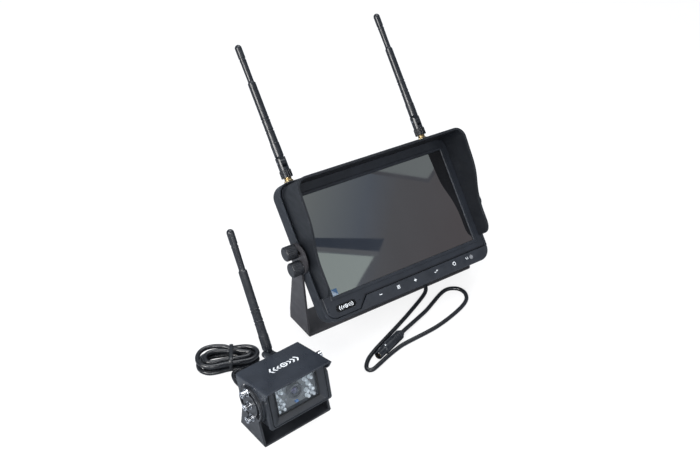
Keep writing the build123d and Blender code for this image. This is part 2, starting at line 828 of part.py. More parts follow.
with BuildPart() as plug_body:
    with BuildSketch(Plane(origin=PLUG_BACK, x_dir=(0, 0, 1), z_dir=Vector(0, 0, 1).cross(PLUG_DIR))):
        with BuildLine():
            Polyline(
                (LEAD_RADIUS + 0.35, -BOOT_LENGTH),
                (2.9, -BOOT_LENGTH),
                (3.1, -0.2),
                (4.1, 0.0),
                (4.5, 0.7),
                (4.5, 24.8),
                (4.0, 25.6),
                (3.7, 25.8),
                (3.7, 34.2),
                (3.3, 34.6),
                (2.9, 34.6),
                (2.9, 27.2),
                (0, 27.2),
                (0, -BOOT_LENGTH + 1.2),
                (LEAD_RADIUS + 0.35, -BOOT_LENGTH + 1.2),
                close=True,
            )
        make_face()
    revolve(axis=Axis(PLUG_BACK, PLUG_DIR))
    for groove in range(5):
        with BuildSketch(PLUG.offset(4.0 + 1.8 * groove)):
            Circle(5)
            Circle(4.15, mode=Mode.SUBTRACT)
        extrude(amount=0.8, mode=Mode.SUBTRACT)
    with BuildSketch(PLUG.offset(24)):
        with PolarLocations(1.55, 4, start_angle=45):
            Circle(0.5)
    extrude(amount=10, mode=Mode.SUBTRACT)

save(plug_body, "plug_body")

with BuildPart() as plug_contacts:
    with BuildSketch(PLUG.offset(24.1)):
        with PolarLocations(1.55, 4, start_angle=45):
            Circle(0.48)
    extrude(amount=8.6)

save(plug_contacts, "plug_contacts")

# ---------------------------------------------------------------- camera bracket

CAM_SLOT_W = 3.4
cam_arcs = [
    CenterArc((CAM_PIVOT_Y, CAM_PIVOT_Z), CAM_SLOT_RADIUS, first, 140) for first in (72, 252)
]

with BuildPart() as cam_bracket:
    with BuildSketch(CAM_FLOOR):
        Rectangle(2 * (CAM_ARM_IN + CAM_SHEET), 32.7)
    extrude(amount=CAM_SHEET)
    for side in (-1, 1):
        start = CAM_ARM_IN if side == 1 else -CAM_ARM_IN - CAM_SHEET
        with BuildSketch(arm_plane(CAM_FLOOR, start)):
            with BuildLine():
                Polyline((-16.35, 0), (16.35, 0), (12.4, 22), (8, 30), (-6, 30), (-9.8, 20.5), close=True)
            make_face()
            with Locations((CAM_PIVOT_Y, CAM_PIVOT_Z)):
                Circle(CAM_EAR_RADIUS)
                Circle(1.56, mode=Mode.SUBTRACT)
            for arc in cam_arcs:
                SlotArc(arc, CAM_SLOT_W, mode=Mode.SUBTRACT)
        extrude(amount=CAM_SHEET)
    cam_bends = cam_bracket.edges().filter_by(lambda e: abs(e.center().Z) < 0.01).filter_by(
        lambda e: abs(abs(CAM_FLOOR.to_local_coords(e.center()).X) - CAM_ARM_IN - CAM_SHEET) < 0.01
    )
    fillet(cam_bends, CAM_SHEET * 0.9)
    with BuildSketch(CAM_FLOOR):
        with PolarLocations(8, 3, start_angle=90):
            Circle(2.2)
    extrude(amount=CAM_SHEET, mode=Mode.SUBTRACT)

save(cam_bracket, "cam_bracket")

# ---------------------------------------------------------------- camera housing

BODY_V = (BODY_TOP + BODY_BOTTOM) / 2
BODY_H = BODY_TOP - BODY_BOTTOM
BODY_WALL = 2.2
GLAND = (-9.0, -5.0)
BODY_POSTS = [(u, v) for u in (-22.6, 22.6) for v in (-15.4, 12.4)]
SCREW_V = (-CAM_SLOT_RADIUS, 0.0, CAM_SLOT_RADIUS)

with BuildPart() as cam_body:
    with BuildSketch(CAM_FACE.offset(BODY_REAR)):
        with Locations((0, BODY_V)):
            RectangleRounded(BODY_W, BODY_H, 4.5)
    extrude(amount=BODY_FRONT - BODY_REAR)
    rear_edges = cam_body.faces().sort_by(Axis(CAM_FACE.origin, CAM_FACE.z_dir))[0].edges()
    fillet(rear_edges, 2.6)
    # Round boss on each side, that the bracket's arms clamp, and two small feet underneath.
    for side in (-1, 1):
        with BuildSketch(side_plane(CAM_FACE, side * (BODY_W / 2 - 0.1), side)):
            Circle(15.6)
        extrude(amount=2.7)
    with BuildSketch(CAM_FACE.offset(-4)):
        with Locations((-9.6, -14.6)):
            Circle(6.8)
    extrude(amount=11.8)
    with BuildSketch(CAM_FACE.offset(2)):
        with Locations((5.6, -18.6)):
            Circle(2.5)
    extrude(amount=5.8)
    with BuildSketch(CAM_FACE.offset(BODY_REAR + BODY_WALL)):
        with Locations((0, BODY_V)):
            RectangleRounded(BODY_W - 2 * BODY_WALL, BODY_H - 2 * BODY_WALL, 2.3)
    extrude(amount=40, mode=Mode.SUBTRACT)
    for u, v in BODY_POSTS:
        with BuildSketch(CAM_FACE.offset(BODY_REAR + 1)):
            with Locations((u, v)):
                Circle(2.9)
        extrude(amount=BODY_FRONT - BODY_REAR - 1.3)
        with BuildSketch(CAM_FACE.offset(BODY_REAR)):
            with Locations((u, v)):
                Circle(1.3)
        extrude(amount=40, mode=Mode.SUBTRACT)
        with BuildSketch(CAM_FACE.offset(BODY_REAR)):
            with Locations((u, v)):
                Circle(2.4)
        extrude(amount=2.2, mode=Mode.SUBTRACT)
    for side in (-1, 1):
        with BuildSketch(side_plane(CAM_FACE, side * 20, side)):
            with Locations(*[(0, v) for v in SCREW_V]):
                Circle(1.53)
        extrude(amount=12, mode=Mode.SUBTRACT)
    with BuildSketch(CAM_FACE.offset(BODY_REAR)):
        with Locations(GLAND):
            Circle(3.0)
        with Locations((CAM_ANTENNA_U, CAM_ANTENNA_V)):
            Circle(THREAD_RADIUS + 0.05)
    extrude(amount=BODY_WALL, mode=Mode.SUBTRACT)

save(cam_body, "cam_body")

RIVET = (14.5, 13.2)
RIVET_RADIUS = 1.2
RING_BACK = 15.8
RING_FRONT = 18.7

with BuildPart() as cam_bezel:
    with BuildSketch(CAM_FACE.offset(BODY_FRONT + 0.1)):
        with Locations((0, -1.5)):
            RectangleRounded(54.0, 35.0, 3.0)
    extrude(amount=RING_BACK - BODY_FRONT)
    # Front ring, wider below the hood's flanges, with a raised inner ridge.
    with BuildSketch(CAM_FACE.offset(RING_BACK)):
        with Locations((0, -1.0)):
            RectangleRounded(55.4, 34.0, 2.0)
        with Locations((0.7, -4.8)):
            RectangleRounded(58.0, 26.4, 2.0)
    extrude(amount=RING_FRONT - RING_BACK)
    ring_edges = cam_bezel.faces().sort_by(Axis(CAM_FACE.origin, CAM_FACE.z_dir))[-1].edges()
    fillet(ring_edges, 0.6)
    with BuildSketch(CAM_FACE.offset(RING_FRONT - 1.2)):
        with Locations((0.6, -0.4)):
            RectangleRounded(52.4, 32.6, 2.0)
            RectangleRounded(51.0, 31.2, 1.6, mode=Mode.SUBTRACT)
    extrude(amount=3, mode=Mode.SUBTRACT)
    with BuildSketch(CAM_FACE.offset(RING_FRONT - 1)):
        with Locations((0.6, -0.4)):
            RectangleRounded(51.0, 31.2, 1.6)
    extrude(amount=BEZEL_FRONT - RING_FRONT + 1)
    ridge_edges = cam_bezel.faces().sort_by(Axis(CAM_FACE.origin, CAM_FACE.z_dir))[-1].edges()
    fillet(ridge_edges, 0.4)
    # Window opening, flared towards the front, and the pocket behind it.
    with BuildSketch(CAM_FACE.offset(16.9)):
        with Locations((WINDOW_U, WINDOW_V)):
            RectangleRounded(39.0, 24.4, 1.0)
    with BuildSketch(CAM_FACE.offset(BEZEL_FRONT + 0.1)):
        with Locations((WINDOW_U, -0.2)):
            RectangleRounded(48.0, 29.6, 1.4)
    loft(mode=Mode.SUBTRACT)
    with BuildSketch(CAM_FACE.offset(BODY_FRONT)):
        with Locations((WINDOW_U, WINDOW_V)):
            RectangleRounded(41.0, 26.4, 2.0)
    extrude(amount=8.92, mode=Mode.SUBTRACT)
    for u, v in BODY_POSTS:
        with BuildSketch(CAM_FACE.offset(BODY_FRONT)):
            with Locations((u, v)):
                Circle(1.28)
        extrude(amount=5.4, mode=Mode.SUBTRACT)
    for side in (-1, 1):
        with BuildSketch(side_plane(CAM_FACE, side * 26.5, side)):
            with Locations((-side * RIVET[0], RIVET[1])):
                Circle(2.6)
        extrude(amount=1.75)
        with BuildSketch(side_plane(CAM_FACE, side * 24, side)):
            with Locations((-side * RIVET[0], RIVET[1])):
                Circle(RIVET_RADIUS + 0.02)
        extrude(amount=6, mode=Mode.SUBTRACT)

save(cam_bezel, "cam_bezel")

HOOD_REAR = -17.6
HOOD_FRONT = 26.3
HOOD_TOP = 19.7
HOOD_W = 59.4
HOOD_SHEET = 1.4

with BuildPart() as cam_hood:
    with BuildSketch(CAM_FACE.offset(HOOD_REAR)):
        with Locations((0, HOOD_TOP - 15)):
            Rectangle(HOOD_W, 30)
    extrude(amount=HOOD_FRONT - HOOD_REAR)
    folds = cam_hood.edges().filter_by(
        lambda e: abs(CAM_FACE.to_local_coords(e.center()).Y - HOOD_TOP) < 0.01
    ).filter_by(lambda e: abs(CAM_FACE.to_local_coords(e.center()).X) > 1)
    fillet(folds, 1.8)
    with BuildSketch(CAM_FACE.offset(HOOD_REAR)):
        with Locations((0, HOOD_TOP - HOOD_SHEET - 20)):
            RectangleRounded(HOOD_W - 2 * HOOD_SHEET, 40, 0.5)
    extrude(amount=HOOD_FRONT - HOOD_REAR, mode=Mode.SUBTRACT)
    # Side outline of the flanges, with the round cut that clears the bracket's ears.
    with BuildSketch(side_plane(CAM_FACE, -40, 1)):
        with BuildLine():
            Polyline(
                (-HOOD_REAR, HOOD_TOP + 1),
                (-HOOD_FRONT, HOOD_TOP + 1),
                (-HOOD_FRONT, HOOD_TOP - 1.2),
                (-22.0, 12.6),
                (-20.2, 11.0),
                (-17.8, 10.8),
                (-13.0, 6.6),
                (0, 6.6),
                (14, -1.5),
                (-HOOD_REAR, -1.5),
                close=True,
            )
        make_face()
        Circle(16.2, mode=Mode.SUBTRACT)
        with Locations((0, HOOD_TOP - 1)):
            Rectangle(30, 4)
    extrude(amount=80, mode=Mode.INTERSECT)
    for side in (-1, 1):
        with BuildSketch(side_plane(CAM_FACE, side * 24, side)):
            with Locations((-side * RIVET[0], RIVET[1])):
                Circle(RIVET_RADIUS + 0.05)
        extrude(amount=10, mode=Mode.SUBTRACT)

save(cam_hood, "cam_hood")

with BuildPart() as cam_rivets:
    for side in (-1, 1):
        for start, end, radius in ((24.4, 29.76, RIVET_RADIUS), (29.74, 29.9, 2.0)):
            with BuildSketch(side_plane(CAM_FACE, side * start, side)):
                with Locations((-side * RIVET[0], RIVET[1])):
                    Circle(radius)
            extrude(amount=end - start)

save(cam_rivets, "cam_rivets")

# ---------------------------------------------------------------- camera optics and boards

LENS_SPOT = (1.0, 1.4)
LED_RADIUS = 1.5
LED_PAIR_ROWS = (10.6, 5.7, -4.4, -9.2)
LED_SPOTS = [(0.4 + side * u, v) for side in (-1, 1) for v in LED_PAIR_ROWS for u in (11.4, 16.3)]
LED_SPOTS += [(0.4 + side * 13.8, 0.6) for side in (-1, 1)]
LED_BOARD_N = 9.2
LED_TOP_N = 15.2

with BuildPart() as cam_window:
    with BuildSketch(CAM_FACE.offset(15.4)):
        with Locations((WINDOW_U, WINDOW_V)):
            RectangleRounded(40.6, 26.0, 1.9)
    extrude(amount=1.5)

save(cam_window, "cam_window")

with BuildPart() as cam_gasket:
    with BuildSketch(CAM_FACE.offset(16.92)):
        with Locations((WINDOW_U, WINDOW_V)):
            RectangleRounded(38.9, 24.3, 0.95)
            RectangleRounded(37.5, 22.9, 0.5, mode=Mode.SUBTRACT)
    extrude(amount=0.6)

save(cam_gasket, "cam_gasket")

with BuildPart() as cam_led_board:
    with BuildSketch(CAM_FACE.offset(LED_BOARD_N)):
        with Locations((WINDOW_U, WINDOW_V)):
            RectangleRounded(40.4, 25.8, 2.0)
        with Locations(LENS_SPOT):
            Circle(6.5, mode=Mode.SUBTRACT)
    extrude(amount=1.6)

save(cam_led_board, "cam_led_board")

with BuildPart() as cam_leds:
    for u, v in LED_SPOTS:
        with BuildSketch(CAM_FACE.offset(LED_BOARD_N + 1.62)):
            with Locations((u, v)):
                Circle(1.9)
        extrude(amount=0.8)
        with BuildSketch(CAM_FACE.offset(LED_BOARD_N + 2.4)):
            with Locations((u, v)):
                Circle(LED_RADIUS)
        extrude(amount=LED_TOP_N - LED_BOARD_N - 2.4)
    domes = cam_leds.edges().filter_by(
        lambda e: abs(CAM_FACE.to_local_coords(e.center()).Z - LED_TOP_N) < 0.01
    )
    fillet(domes, 1.35)

save(cam_leds, "cam_leds")

with BuildPart() as cam_light_sensor:
    with BuildSketch(CAM_FACE.offset(LED_BOARD_N + 1.62)):
        with Locations((1.6, -9.2)):
            RectangleRounded(2.6, 1.8, 0.4)
    extrude(amount=1.6)

save(cam_light_sensor, "cam_light_sensor")

with BuildPart() as cam_lens_barrel:
    with BuildSketch(CAM_FACE.offset(1.3)):
        with Locations(LENS_SPOT):
            Rectangle(14, 14)
            Circle(3.8, mode=Mode.SUBTRACT)
    extrude(amount=5)
    with BuildSketch(CAM_FACE.offset(6.2)):
        with Locations(LENS_SPOT):
            Circle(6.2)
            Circle(3.8, mode=Mode.SUBTRACT)
    extrude(amount=8.4)
    with BuildSketch(CAM_FACE.offset(13.8)):
        with Locations(LENS_SPOT):
            Circle(5.0)
    extrude(amount=2, mode=Mode.SUBTRACT)

save(cam_lens_barrel, "cam_lens_barrel")

with BuildPart() as cam_lens:
    with BuildSketch(CAM_FACE.offset(11.0)):
        with Locations(LENS_SPOT):
            Circle(3.75)
    extrude(amount=2.8)
    lens_edge = cam_lens.edges().sort_by(Axis(CAM_FACE.origin, CAM_FACE.z_dir))[-1]
    fillet(lens_edge, 2.2)

save(cam_lens, "cam_lens")

with BuildPart() as cam_sensor_board:
    with BuildSketch(CAM_FACE.offset(-1.2)):
        with Locations((0, 0)):
            Rectangle(36, 26)
    extrude(amount=1.4)
    with BuildSketch(CAM_FACE.offset(0.2)):
        with Locations(LENS_SPOT):
            Rectangle(6.8, 6.8)
    extrude(amount=1.0)

save(cam_sensor_board, "cam_sensor_board")

with BuildPart() as cam_radio_board:
    with BuildSketch(CAM_FACE.offset(-7.4)):
        Rectangle(38, 24)
    extrude(amount=1.4)
    with BuildSketch(CAM_FACE.offset(-6.0)):
        with Locations((-6, 2)):
            Rectangle(14, 12)
    extrude(amount=1.8)

save(cam_radio_board, "cam_radio_board")

# ---------------------------------------------------------------- camera fasteners, jack and gland

with BuildPart() as cam_side_screws:
    for side in (-1, 1):
        for v in SCREW_V:
            with BuildSketch(side_plane(CAM_FACE, side * 25.2, side)):
                with Locations((0, v)):
                    Circle(1.5)
            extrude(amount=9.2)
            with BuildSketch(side_plane(CAM_FACE, side * 34.2, side)):
                with Locations((0, v)):
                    Circle(2.75)
            extrude(amount=3.0)
            with BuildSketch(side_plane(CAM_FACE, side * 35.6, side)):
                with Locations((0, v)):
                    RegularPolygon(1.45, 6)
            extrude(amount=3.0, mode=Mode.SUBTRACT)

save(cam_side_screws, "cam_side_screws")

with BuildPart() as cam_washers:
    for side in (-1, 1):
        for v in SCREW_V:
            for start, thickness, radius in ((32.05, 0.6, 3.4), (32.7, 0.9, 2.8)):
                with BuildSketch(side_plane(CAM_FACE, side * start, side)):
                    with Locations((0, v)):
                        Circle(radius)
                        Circle(1.6, mode=Mode.SUBTRACT)
                extrude(amount=thickness)

save(cam_washers, "cam_washers")

with BuildPart() as cam_rear_screws:
    for u, v in BODY_POSTS:
        with BuildSketch(CAM_FACE.offset(BODY_REAR + 0.4)):
            with Locations((u, v)):
                Circle(2.2)
                Rectangle(2.6, 0.6, mode=Mode.SUBTRACT)
                Rectangle(0.6, 2.6, mode=Mode.SUBTRACT)
        extrude(amount=0.9)
        with BuildSketch(CAM_FACE.offset(BODY_REAR + 1.2)):
            with Locations((u, v)):
                Circle(2.2)
        extrude(amount=0.9)
        with BuildSketch(CAM_FACE.offset(BODY_REAR + 2.0)):
            with Locations((u, v)):
                Circle(1.25)
        extrude(amount=23.5)

save(cam_rear_screws, "cam_rear_screws")

CAM_FOOT = antennas[2][1]

with BuildPart() as cam_jack:
    wall_s = CAM_FOOT_N - BODY_REAR
    for start, end, radius in ((wall_s - 2.1, JACK_TOP_S, THREAD_RADIUS), (wall_s - 5.6, wall_s - 2, 1.4)):
        with BuildSketch(CAM_FOOT.offset(start)):
            Circle(radius)
        extrude(amount=end - start)
    with BuildSketch(CAM_FOOT.offset(wall_s + HEX_START)):
        RegularPolygon(4.6, 6)
    extrude(amount=2.0)
    with BuildSketch(CAM_FOOT.offset(-0.5)):
        Circle(0.55)
    extrude(amount=10, mode=Mode.SUBTRACT)

save(cam_jack, "cam_jack")

GLAND_PLANE = rear_plane(CAM_FACE, GLAND[0], GLAND[1], BODY_REAR)

with BuildPart() as cam_gland:
    with BuildSketch(GLAND_PLANE.offset(-BODY_WALL)):
        Circle(2.95)
    extrude(amount=BODY_WALL + 0.1)
    with BuildSketch(GLAND_PLANE.offset(0.08)):
        RegularPolygon(5.4, 6)
    extrude(amount=3.2)
    with BuildSketch(GLAND_PLANE.offset(3.2)):
        Circle(4.2)
    extrude(amount=3.0)
    fillet(cam_gland.edges().sort_by(Axis(GLAND_PLANE.origin, GLAND_PLANE.z_dir))[-1], 1.5)
    with BuildSketch(GLAND_PLANE.offset(-4)):
        Circle(CABLE_RADIUS + 0.05)
    extrude(amount=14, mode=Mode.SUBTRACT)

save(cam_gland, "cam_gland")

with BuildPart() as cam_tail:
    with BuildSketch(GLAND_PLANE.offset(-4)):
        Circle(CABLE_RADIUS)
    extrude(amount=14)

save(cam_tail, "cam_tail")

# ---------------------------------------------------------------- camera cable, tied in a hank

HANK_Z = 7.6
HANK_HALF_W = 5.0
HANK_HALF_H = 6.4
WAIST = Vector(-164.5, -9.5, HANK_Z)
WAIST_DIR = Vector(0.874, -0.485, 0).normalized()
WAIST_ACROSS = Vector(0.485, 0.874, 0).normalized()
STRAND = 6.3
TIE_W = 2 * (STRAND + HANK_HALF_W) + 5.2
TIE_H = 2 * HANK_HALF_H + 1.2
TIE_SHEET = 0.6

with BuildPart() as cam_cable:
    with BuildLine() as hank_path:
        Spline(
            WAIST + WAIST_ACROSS * STRAND,
            (-149.5, -8.0, HANK_Z),
            (-147.6, -14.8, HANK_Z),
            (-154.0, -19.6, HANK_Z),
            WAIST - WAIST_ACROSS * STRAND,
            (-180.5, -10.5, HANK_Z),
            (-187.6, -2.6, HANK_Z),
            (-182.0, 7.8, HANK_Z),
            (-172.5, 6.0, HANK_Z),
            periodic=True,
        )
    with BuildSketch(Plane(origin=hank_path.line @ 0, x_dir=(0, 0, 1), z_dir=hank_path.line % 0)):
        Ellipse(HANK_HALF_H, HANK_HALF_W)
    sweep()
    with BuildLine() as run_path:
        Spline(
            (-170.5, -50.0, 2.0),
            (-174.0, -38.0, 2.0),
            (-179.5, -28.0, 2.2),
            (-183.0, -19.0, 3.6),
            (-183.5, -11.5, 6.0),
        )
    with BuildSketch(Plane(origin=run_path.line @ 0, z_dir=run_path.line % 0)):
        Circle(CABLE_RADIUS)
    sweep()

save(cam_cable, "cam_cable")

with BuildPart() as cam_cable_tie:
    with BuildSketch(Plane(origin=WAIST - WAIST_DIR * 1.5, x_dir=WAIST_ACROSS, z_dir=WAIST_DIR)):
        RectangleRounded(TIE_W + 2 * TIE_SHEET, TIE_H + 2 * TIE_SHEET, 2.6)
        RectangleRounded(TIE_W, TIE_H, 2.0, mode=Mode.SUBTRACT)
    extrude(amount=3)

save(cam_cable_tie, "cam_cable_tie")
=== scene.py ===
"""Backup camera kit: materials, cables, printed marks, fittings and the studio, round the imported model.

Sizes are in millimetres in the face frames below and in metres in Blender.
"""

import json
from math import cos, pi, radians, sin, tau

import bmesh
import bpy
from mathutils import Matrix, Vector


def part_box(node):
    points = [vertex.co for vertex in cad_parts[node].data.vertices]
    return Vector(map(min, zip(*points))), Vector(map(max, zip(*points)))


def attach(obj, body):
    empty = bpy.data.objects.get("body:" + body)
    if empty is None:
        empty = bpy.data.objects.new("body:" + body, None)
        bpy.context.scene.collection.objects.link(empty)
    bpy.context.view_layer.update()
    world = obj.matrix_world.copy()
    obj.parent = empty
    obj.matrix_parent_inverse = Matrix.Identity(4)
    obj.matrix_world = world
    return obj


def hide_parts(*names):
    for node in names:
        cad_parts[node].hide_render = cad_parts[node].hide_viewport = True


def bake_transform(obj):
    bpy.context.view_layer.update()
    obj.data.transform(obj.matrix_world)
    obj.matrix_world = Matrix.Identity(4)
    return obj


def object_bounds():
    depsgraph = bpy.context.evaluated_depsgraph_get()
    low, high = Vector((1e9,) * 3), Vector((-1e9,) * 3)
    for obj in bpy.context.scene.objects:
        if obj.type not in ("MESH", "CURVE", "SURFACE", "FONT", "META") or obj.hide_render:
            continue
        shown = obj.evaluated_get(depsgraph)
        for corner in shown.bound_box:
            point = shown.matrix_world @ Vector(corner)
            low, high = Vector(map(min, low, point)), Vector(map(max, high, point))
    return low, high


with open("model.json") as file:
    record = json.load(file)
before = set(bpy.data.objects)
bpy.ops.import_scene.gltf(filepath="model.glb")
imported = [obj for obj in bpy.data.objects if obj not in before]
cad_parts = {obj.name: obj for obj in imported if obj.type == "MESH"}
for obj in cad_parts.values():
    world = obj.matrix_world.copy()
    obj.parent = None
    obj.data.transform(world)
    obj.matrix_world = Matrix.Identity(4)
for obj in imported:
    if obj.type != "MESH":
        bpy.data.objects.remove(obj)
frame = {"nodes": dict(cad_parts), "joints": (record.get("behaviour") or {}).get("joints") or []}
cad_low, cad_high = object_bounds()

MM = 0.001
nodes = frame["nodes"]
joints = {joint["name"]: joint for joint in frame["joints"]}

# ---------------------------------------------------------------- face frames


class Face:
    """A flat frame on the object: u across it, v up it and n out of it, in millimetres."""

    def __init__(self, origin, across, out):
        self.origin = Vector(origin)
        self.u = Vector(across).normalized()
        self.n = Vector(out).normalized()
        self.v = self.n.cross(self.u)

    def at(self, u, v, n):
        return self.origin + (self.u * u + self.v * v + self.n * n) * MM

    def local(self, point):
        """The (u, v, n) of a point, in millimetres."""
        offset = (Vector(point) - self.origin) / MM
        return offset.dot(self.u), offset.dot(self.v), offset.dot(self.n)


def reach(face, node, axis):
    """The highest place of a CAD node along one of a face's axes, in millimetres."""
    return max(face.local(vertex.co)[axis] for vertex in nodes[node].data.vertices)


SCREEN = Face(joints["monitor_tilt"]["pos_m"], (1, 0, 0), joints["sunshade_pull"]["axis"])
CAMERA = Face(
    joints["camera_pitch"]["pos_m"], joints["camera_pitch"]["axis"], -Vector(joints["cam_nut_turn"]["axis"])
)
KEY_TOP = reach(SCREEN, "key_strip", 2)
BADGE_TOP = reach(SCREEN, "badge_plate", 2)
GLASS_TOP = reach(SCREEN, "lcd_glass", 2)
HOOD_TOP = reach(CAMERA, "cam_hood", 1)

# ---------------------------------------------------------------- materials


class Paint:
    """One node material, built step by step on its Principled shader."""

    def __init__(self, name, **settings):
        self.material = bpy.data.materials.new(name)
        self.material.use_nodes = True
        self.tree = self.material.node_tree
        self.bsdf = self.tree.nodes["Principled BSDF"]
        self.place = self.add("ShaderNodeTexCoord").outputs["Object"]
        for socket, value in settings.items():
            self.set(socket.replace("_", " "), value)

    def add(self, kind, inputs=(), **settings):
        node = self.tree.nodes.new(kind)
        for key, value in settings.items():
            setattr(node, key, value)
        for socket, value in dict(inputs).items():
            self.join(value, node.inputs[socket])
        return node

    def join(self, value, socket):
        """Link a node's output to a socket, or give the socket a plain value."""
        if isinstance(value, bpy.types.NodeSocket):
            self.tree.links.new(value, socket)
        else:
            socket.default_value = value

    def set(self, socket, value):
        self.join(value, self.bsdf.inputs[socket])

    def noise(self, size, detail=3.0, stretch=(1, 1, 1)):
        """Noise whose grains are about size millimetres, longer where stretch is below 1."""
        place = self.add("ShaderNodeMapping", {"Vector": self.place, "Scale": stretch}).outputs[0]
        scale = 1 / (size * MM)
        texture = self.add("ShaderNodeTexNoise", {"Vector": place, "Scale": scale, "Detail": detail})
        return texture.outputs["Fac"]

    def spread(self, value, low, high, start=0.35, end=0.65):
        """Map value from start..end to low..high."""
        inputs = {"Value": value, "From Min": start, "From Max": end, "To Min": low, "To Max": high}
        return self.add("ShaderNodeMapRange", inputs).outputs["Result"]

    def math(self, operation, a, b=0.0):
        return self.add("ShaderNodeMath", {0: a, 1: b}, operation=operation).outputs[0]

    def mix(self, factor, a, b):
        node = self.add("ShaderNodeMix", data_type="RGBA")
        for index, value in ((0, factor), (6, a), (7, b)):
            self.join(value, node.inputs[index])
        return node.outputs[2]

    def edge(self, width):
        """(rounded normal, mask that is 1 on the rim of an edge) for edges width millimetres wide."""
        rounded = self.add("ShaderNodeBevel", {"Radius": width * MM}, samples=6).outputs[0]
        flat = self.add("ShaderNodeNewGeometry").outputs["Normal"]
        product = self.add("ShaderNodeVectorMath", {0: rounded, 1: flat}, operation="DOT_PRODUCT")
        return rounded, self.spread(product.outputs["Value"], 1.0, 0.0, 0.86, 0.985)

    def bump(self, height, depth, normal=None, strength=1.0):
        """Raise the surface by height times depth millimetres."""
        inputs = {"Height": height, "Distance": depth * MM, "Strength": strength}
        if normal is not None:
            inputs["Normal"] = normal
        self.set("Normal", self.add("ShaderNodeBump", inputs).outputs[0])


def rgb(red, green, blue):
    """A colour given as screen values from 0 to 255, as the linear RGBA that Blender wants."""
    def linear(value):
        share = value / 255
        return share / 12.92 if share <= 0.04045 else ((share + 0.055) / 1.055) ** 2.4
    return linear(red), linear(green), linear(blue), 1.0


def moulded(name, colour, rough, grain=0.25, depth=0.012, wear=None, edge=0.35, mottle=0.12, **settings):
    """Plastic or paint: fine surface grain, cloudy colour, handling marks and rubbed edges."""
    paint = Paint(name, **settings)
    normal, rim = paint.edge(edge)
    cloud = paint.noise(14, 4)
    darker = tuple(c * (1 - mottle) for c in colour[:3]) + (1,)
    lighter = tuple(c * (1 + mottle) for c in colour[:3]) + (1,)
    base = paint.mix(paint.spread(cloud, 0, 1), darker, lighter)
    fleck = paint.spread(paint.noise(0.7, 2), 0.0, 0.10, 0.55, 0.8)
    base = paint.mix(fleck, base, tuple(min(1, c * 2.2 + 0.01) for c in colour[:3]) + (1,))
    if wear:
        rubbed = paint.math("MULTIPLY", rim, paint.spread(paint.noise(2.6, 5), 0.15, 0.9))
        base = paint.mix(rubbed, base, wear)
    paint.set("Base Color", base)
    marks = paint.spread(paint.noise(5, 6, (1, 0.35, 1)), -0.05, 0.07)
    paint.set("Roughness", paint.math("ADD", marks, rough))
    paint.bump(paint.noise(grain, 2), depth, normal)
    return paint.material


def turned(name, colour, rough, axis=None, grain=0.12):
    """Machined metal: fine tool marks, a little staining, and softly broken edges."""
    paint = Paint(name, Metallic=1.0)
    normal, rim = paint.edge(0.18)
    stain = paint.spread(paint.noise(1.6, 5), 0, 1)
    dull = tuple(c * 0.78 for c in colour[:3]) + (1,)
    paint.set("Base Color", paint.mix(stain, dull, colour))
    paint.set("Roughness", paint.math("ADD", paint.spread(paint.noise(0.6, 4), -0.06, 0.08), rough))
    paint.bump(paint.noise(grain, 2, axis or (1, 0.2, 1)), 0.006, normal, 0.8)
    return paint.material


def jacket(name, colour, rough):
    """A cable's smooth vinyl jacket: nearly even and glossy, with a trace of waxy bloom."""
    paint = Paint(name, IOR=1.5, Coat_Weight=0.06, Coat_Roughness=0.2)
    bloom = paint.spread(paint.noise(9, 4), 0, 1, 0.4, 0.75)
    paint.set("Base Color", paint.mix(bloom, colour, tuple(c * 1.25 for c in colour[:3]) + (1,)))
    paint.set("Roughness", paint.spread(paint.noise(6, 4), rough - 0.04, rough + 0.05))
    paint.bump(paint.noise(0.8, 3), 0.008)
    return paint.material


def board(name, mask, copper):
    """A circuit board: tracks and pads under its solder mask."""
    paint = Paint(name, Roughness=0.35, Coat_Weight=0.5, Coat_Roughness=0.15)
    scale = 1 / (2.4 * MM)
    cells = paint.add("ShaderNodeTexBrick", {"Vector": paint.place, "Scale": scale, "Mortar Size": 0.06})
    tracks = paint.math("MULTIPLY", cells.outputs["Fac"], paint.spread(paint.noise(5, 2), 0, 1, 0.45, 0.5))
    paint.set("Base Color", paint.mix(tracks, mask, copper))
    paint.bump(tracks, 0.03)
    return paint.material


def screen_glass():
    """The dark cover glass: nearly a mirror, with faint wipe marks."""
    paint = Paint("screen_glass", IOR=1.5, Specular_IOR_Level=0.5)
    wipe = paint.noise(26, 5, (1, 0.3, 0.6))
    tint = paint.mix(paint.spread(wipe, 0, 1), rgb(14, 15, 18), rgb(19, 20, 23))
    paint.set("Base Color", tint)
    paint.set("Roughness", paint.spread(wipe, 0.012, 0.035))
    return paint.material


def clear_sheet(name, tint, veil):
    """A thin clear window: light passes straight through, and its face reflects."""
    paint = Paint(name, Roughness=0.04, Metallic=0.0)
    paint.set("Base Color", paint.mix(paint.spread(paint.noise(9, 4), 0, 1), tint, rgb(150, 158, 165)))
    clear = paint.add("ShaderNodeBsdfTransparent", {"Color": (0.94, 0.96, 0.97, 1)})
    gloss = paint.add("ShaderNodeBsdfGlossy", {"Color": (1, 1, 1, 1), "Roughness": 0.05})
    # The far face is seen from inside, where the ray is straight and must not reflect in full.
    inside = paint.add("ShaderNodeNewGeometry").outputs["Backfacing"]
    fresnel = paint.add("ShaderNodeFresnel", {"IOR": paint.spread(inside, 1.5, 1 / 1.5, 0, 1)})
    shaders = {0: fresnel.outputs[0], 1: clear.outputs[0], 2: gloss.outputs[0]}
    bright = paint.add("ShaderNodeMixShader", shaders)
    haze = paint.spread(paint.noise(3, 5), veil * 0.5, veil * 1.4)
    final = paint.add("ShaderNodeMixShader", {0: haze, 1: bright.outputs[0], 2: paint.bsdf.outputs[0]})
    output = paint.tree.nodes["Material Output"]
    paint.tree.links.new(final.outputs[0], output.inputs["Surface"])
    return paint.material


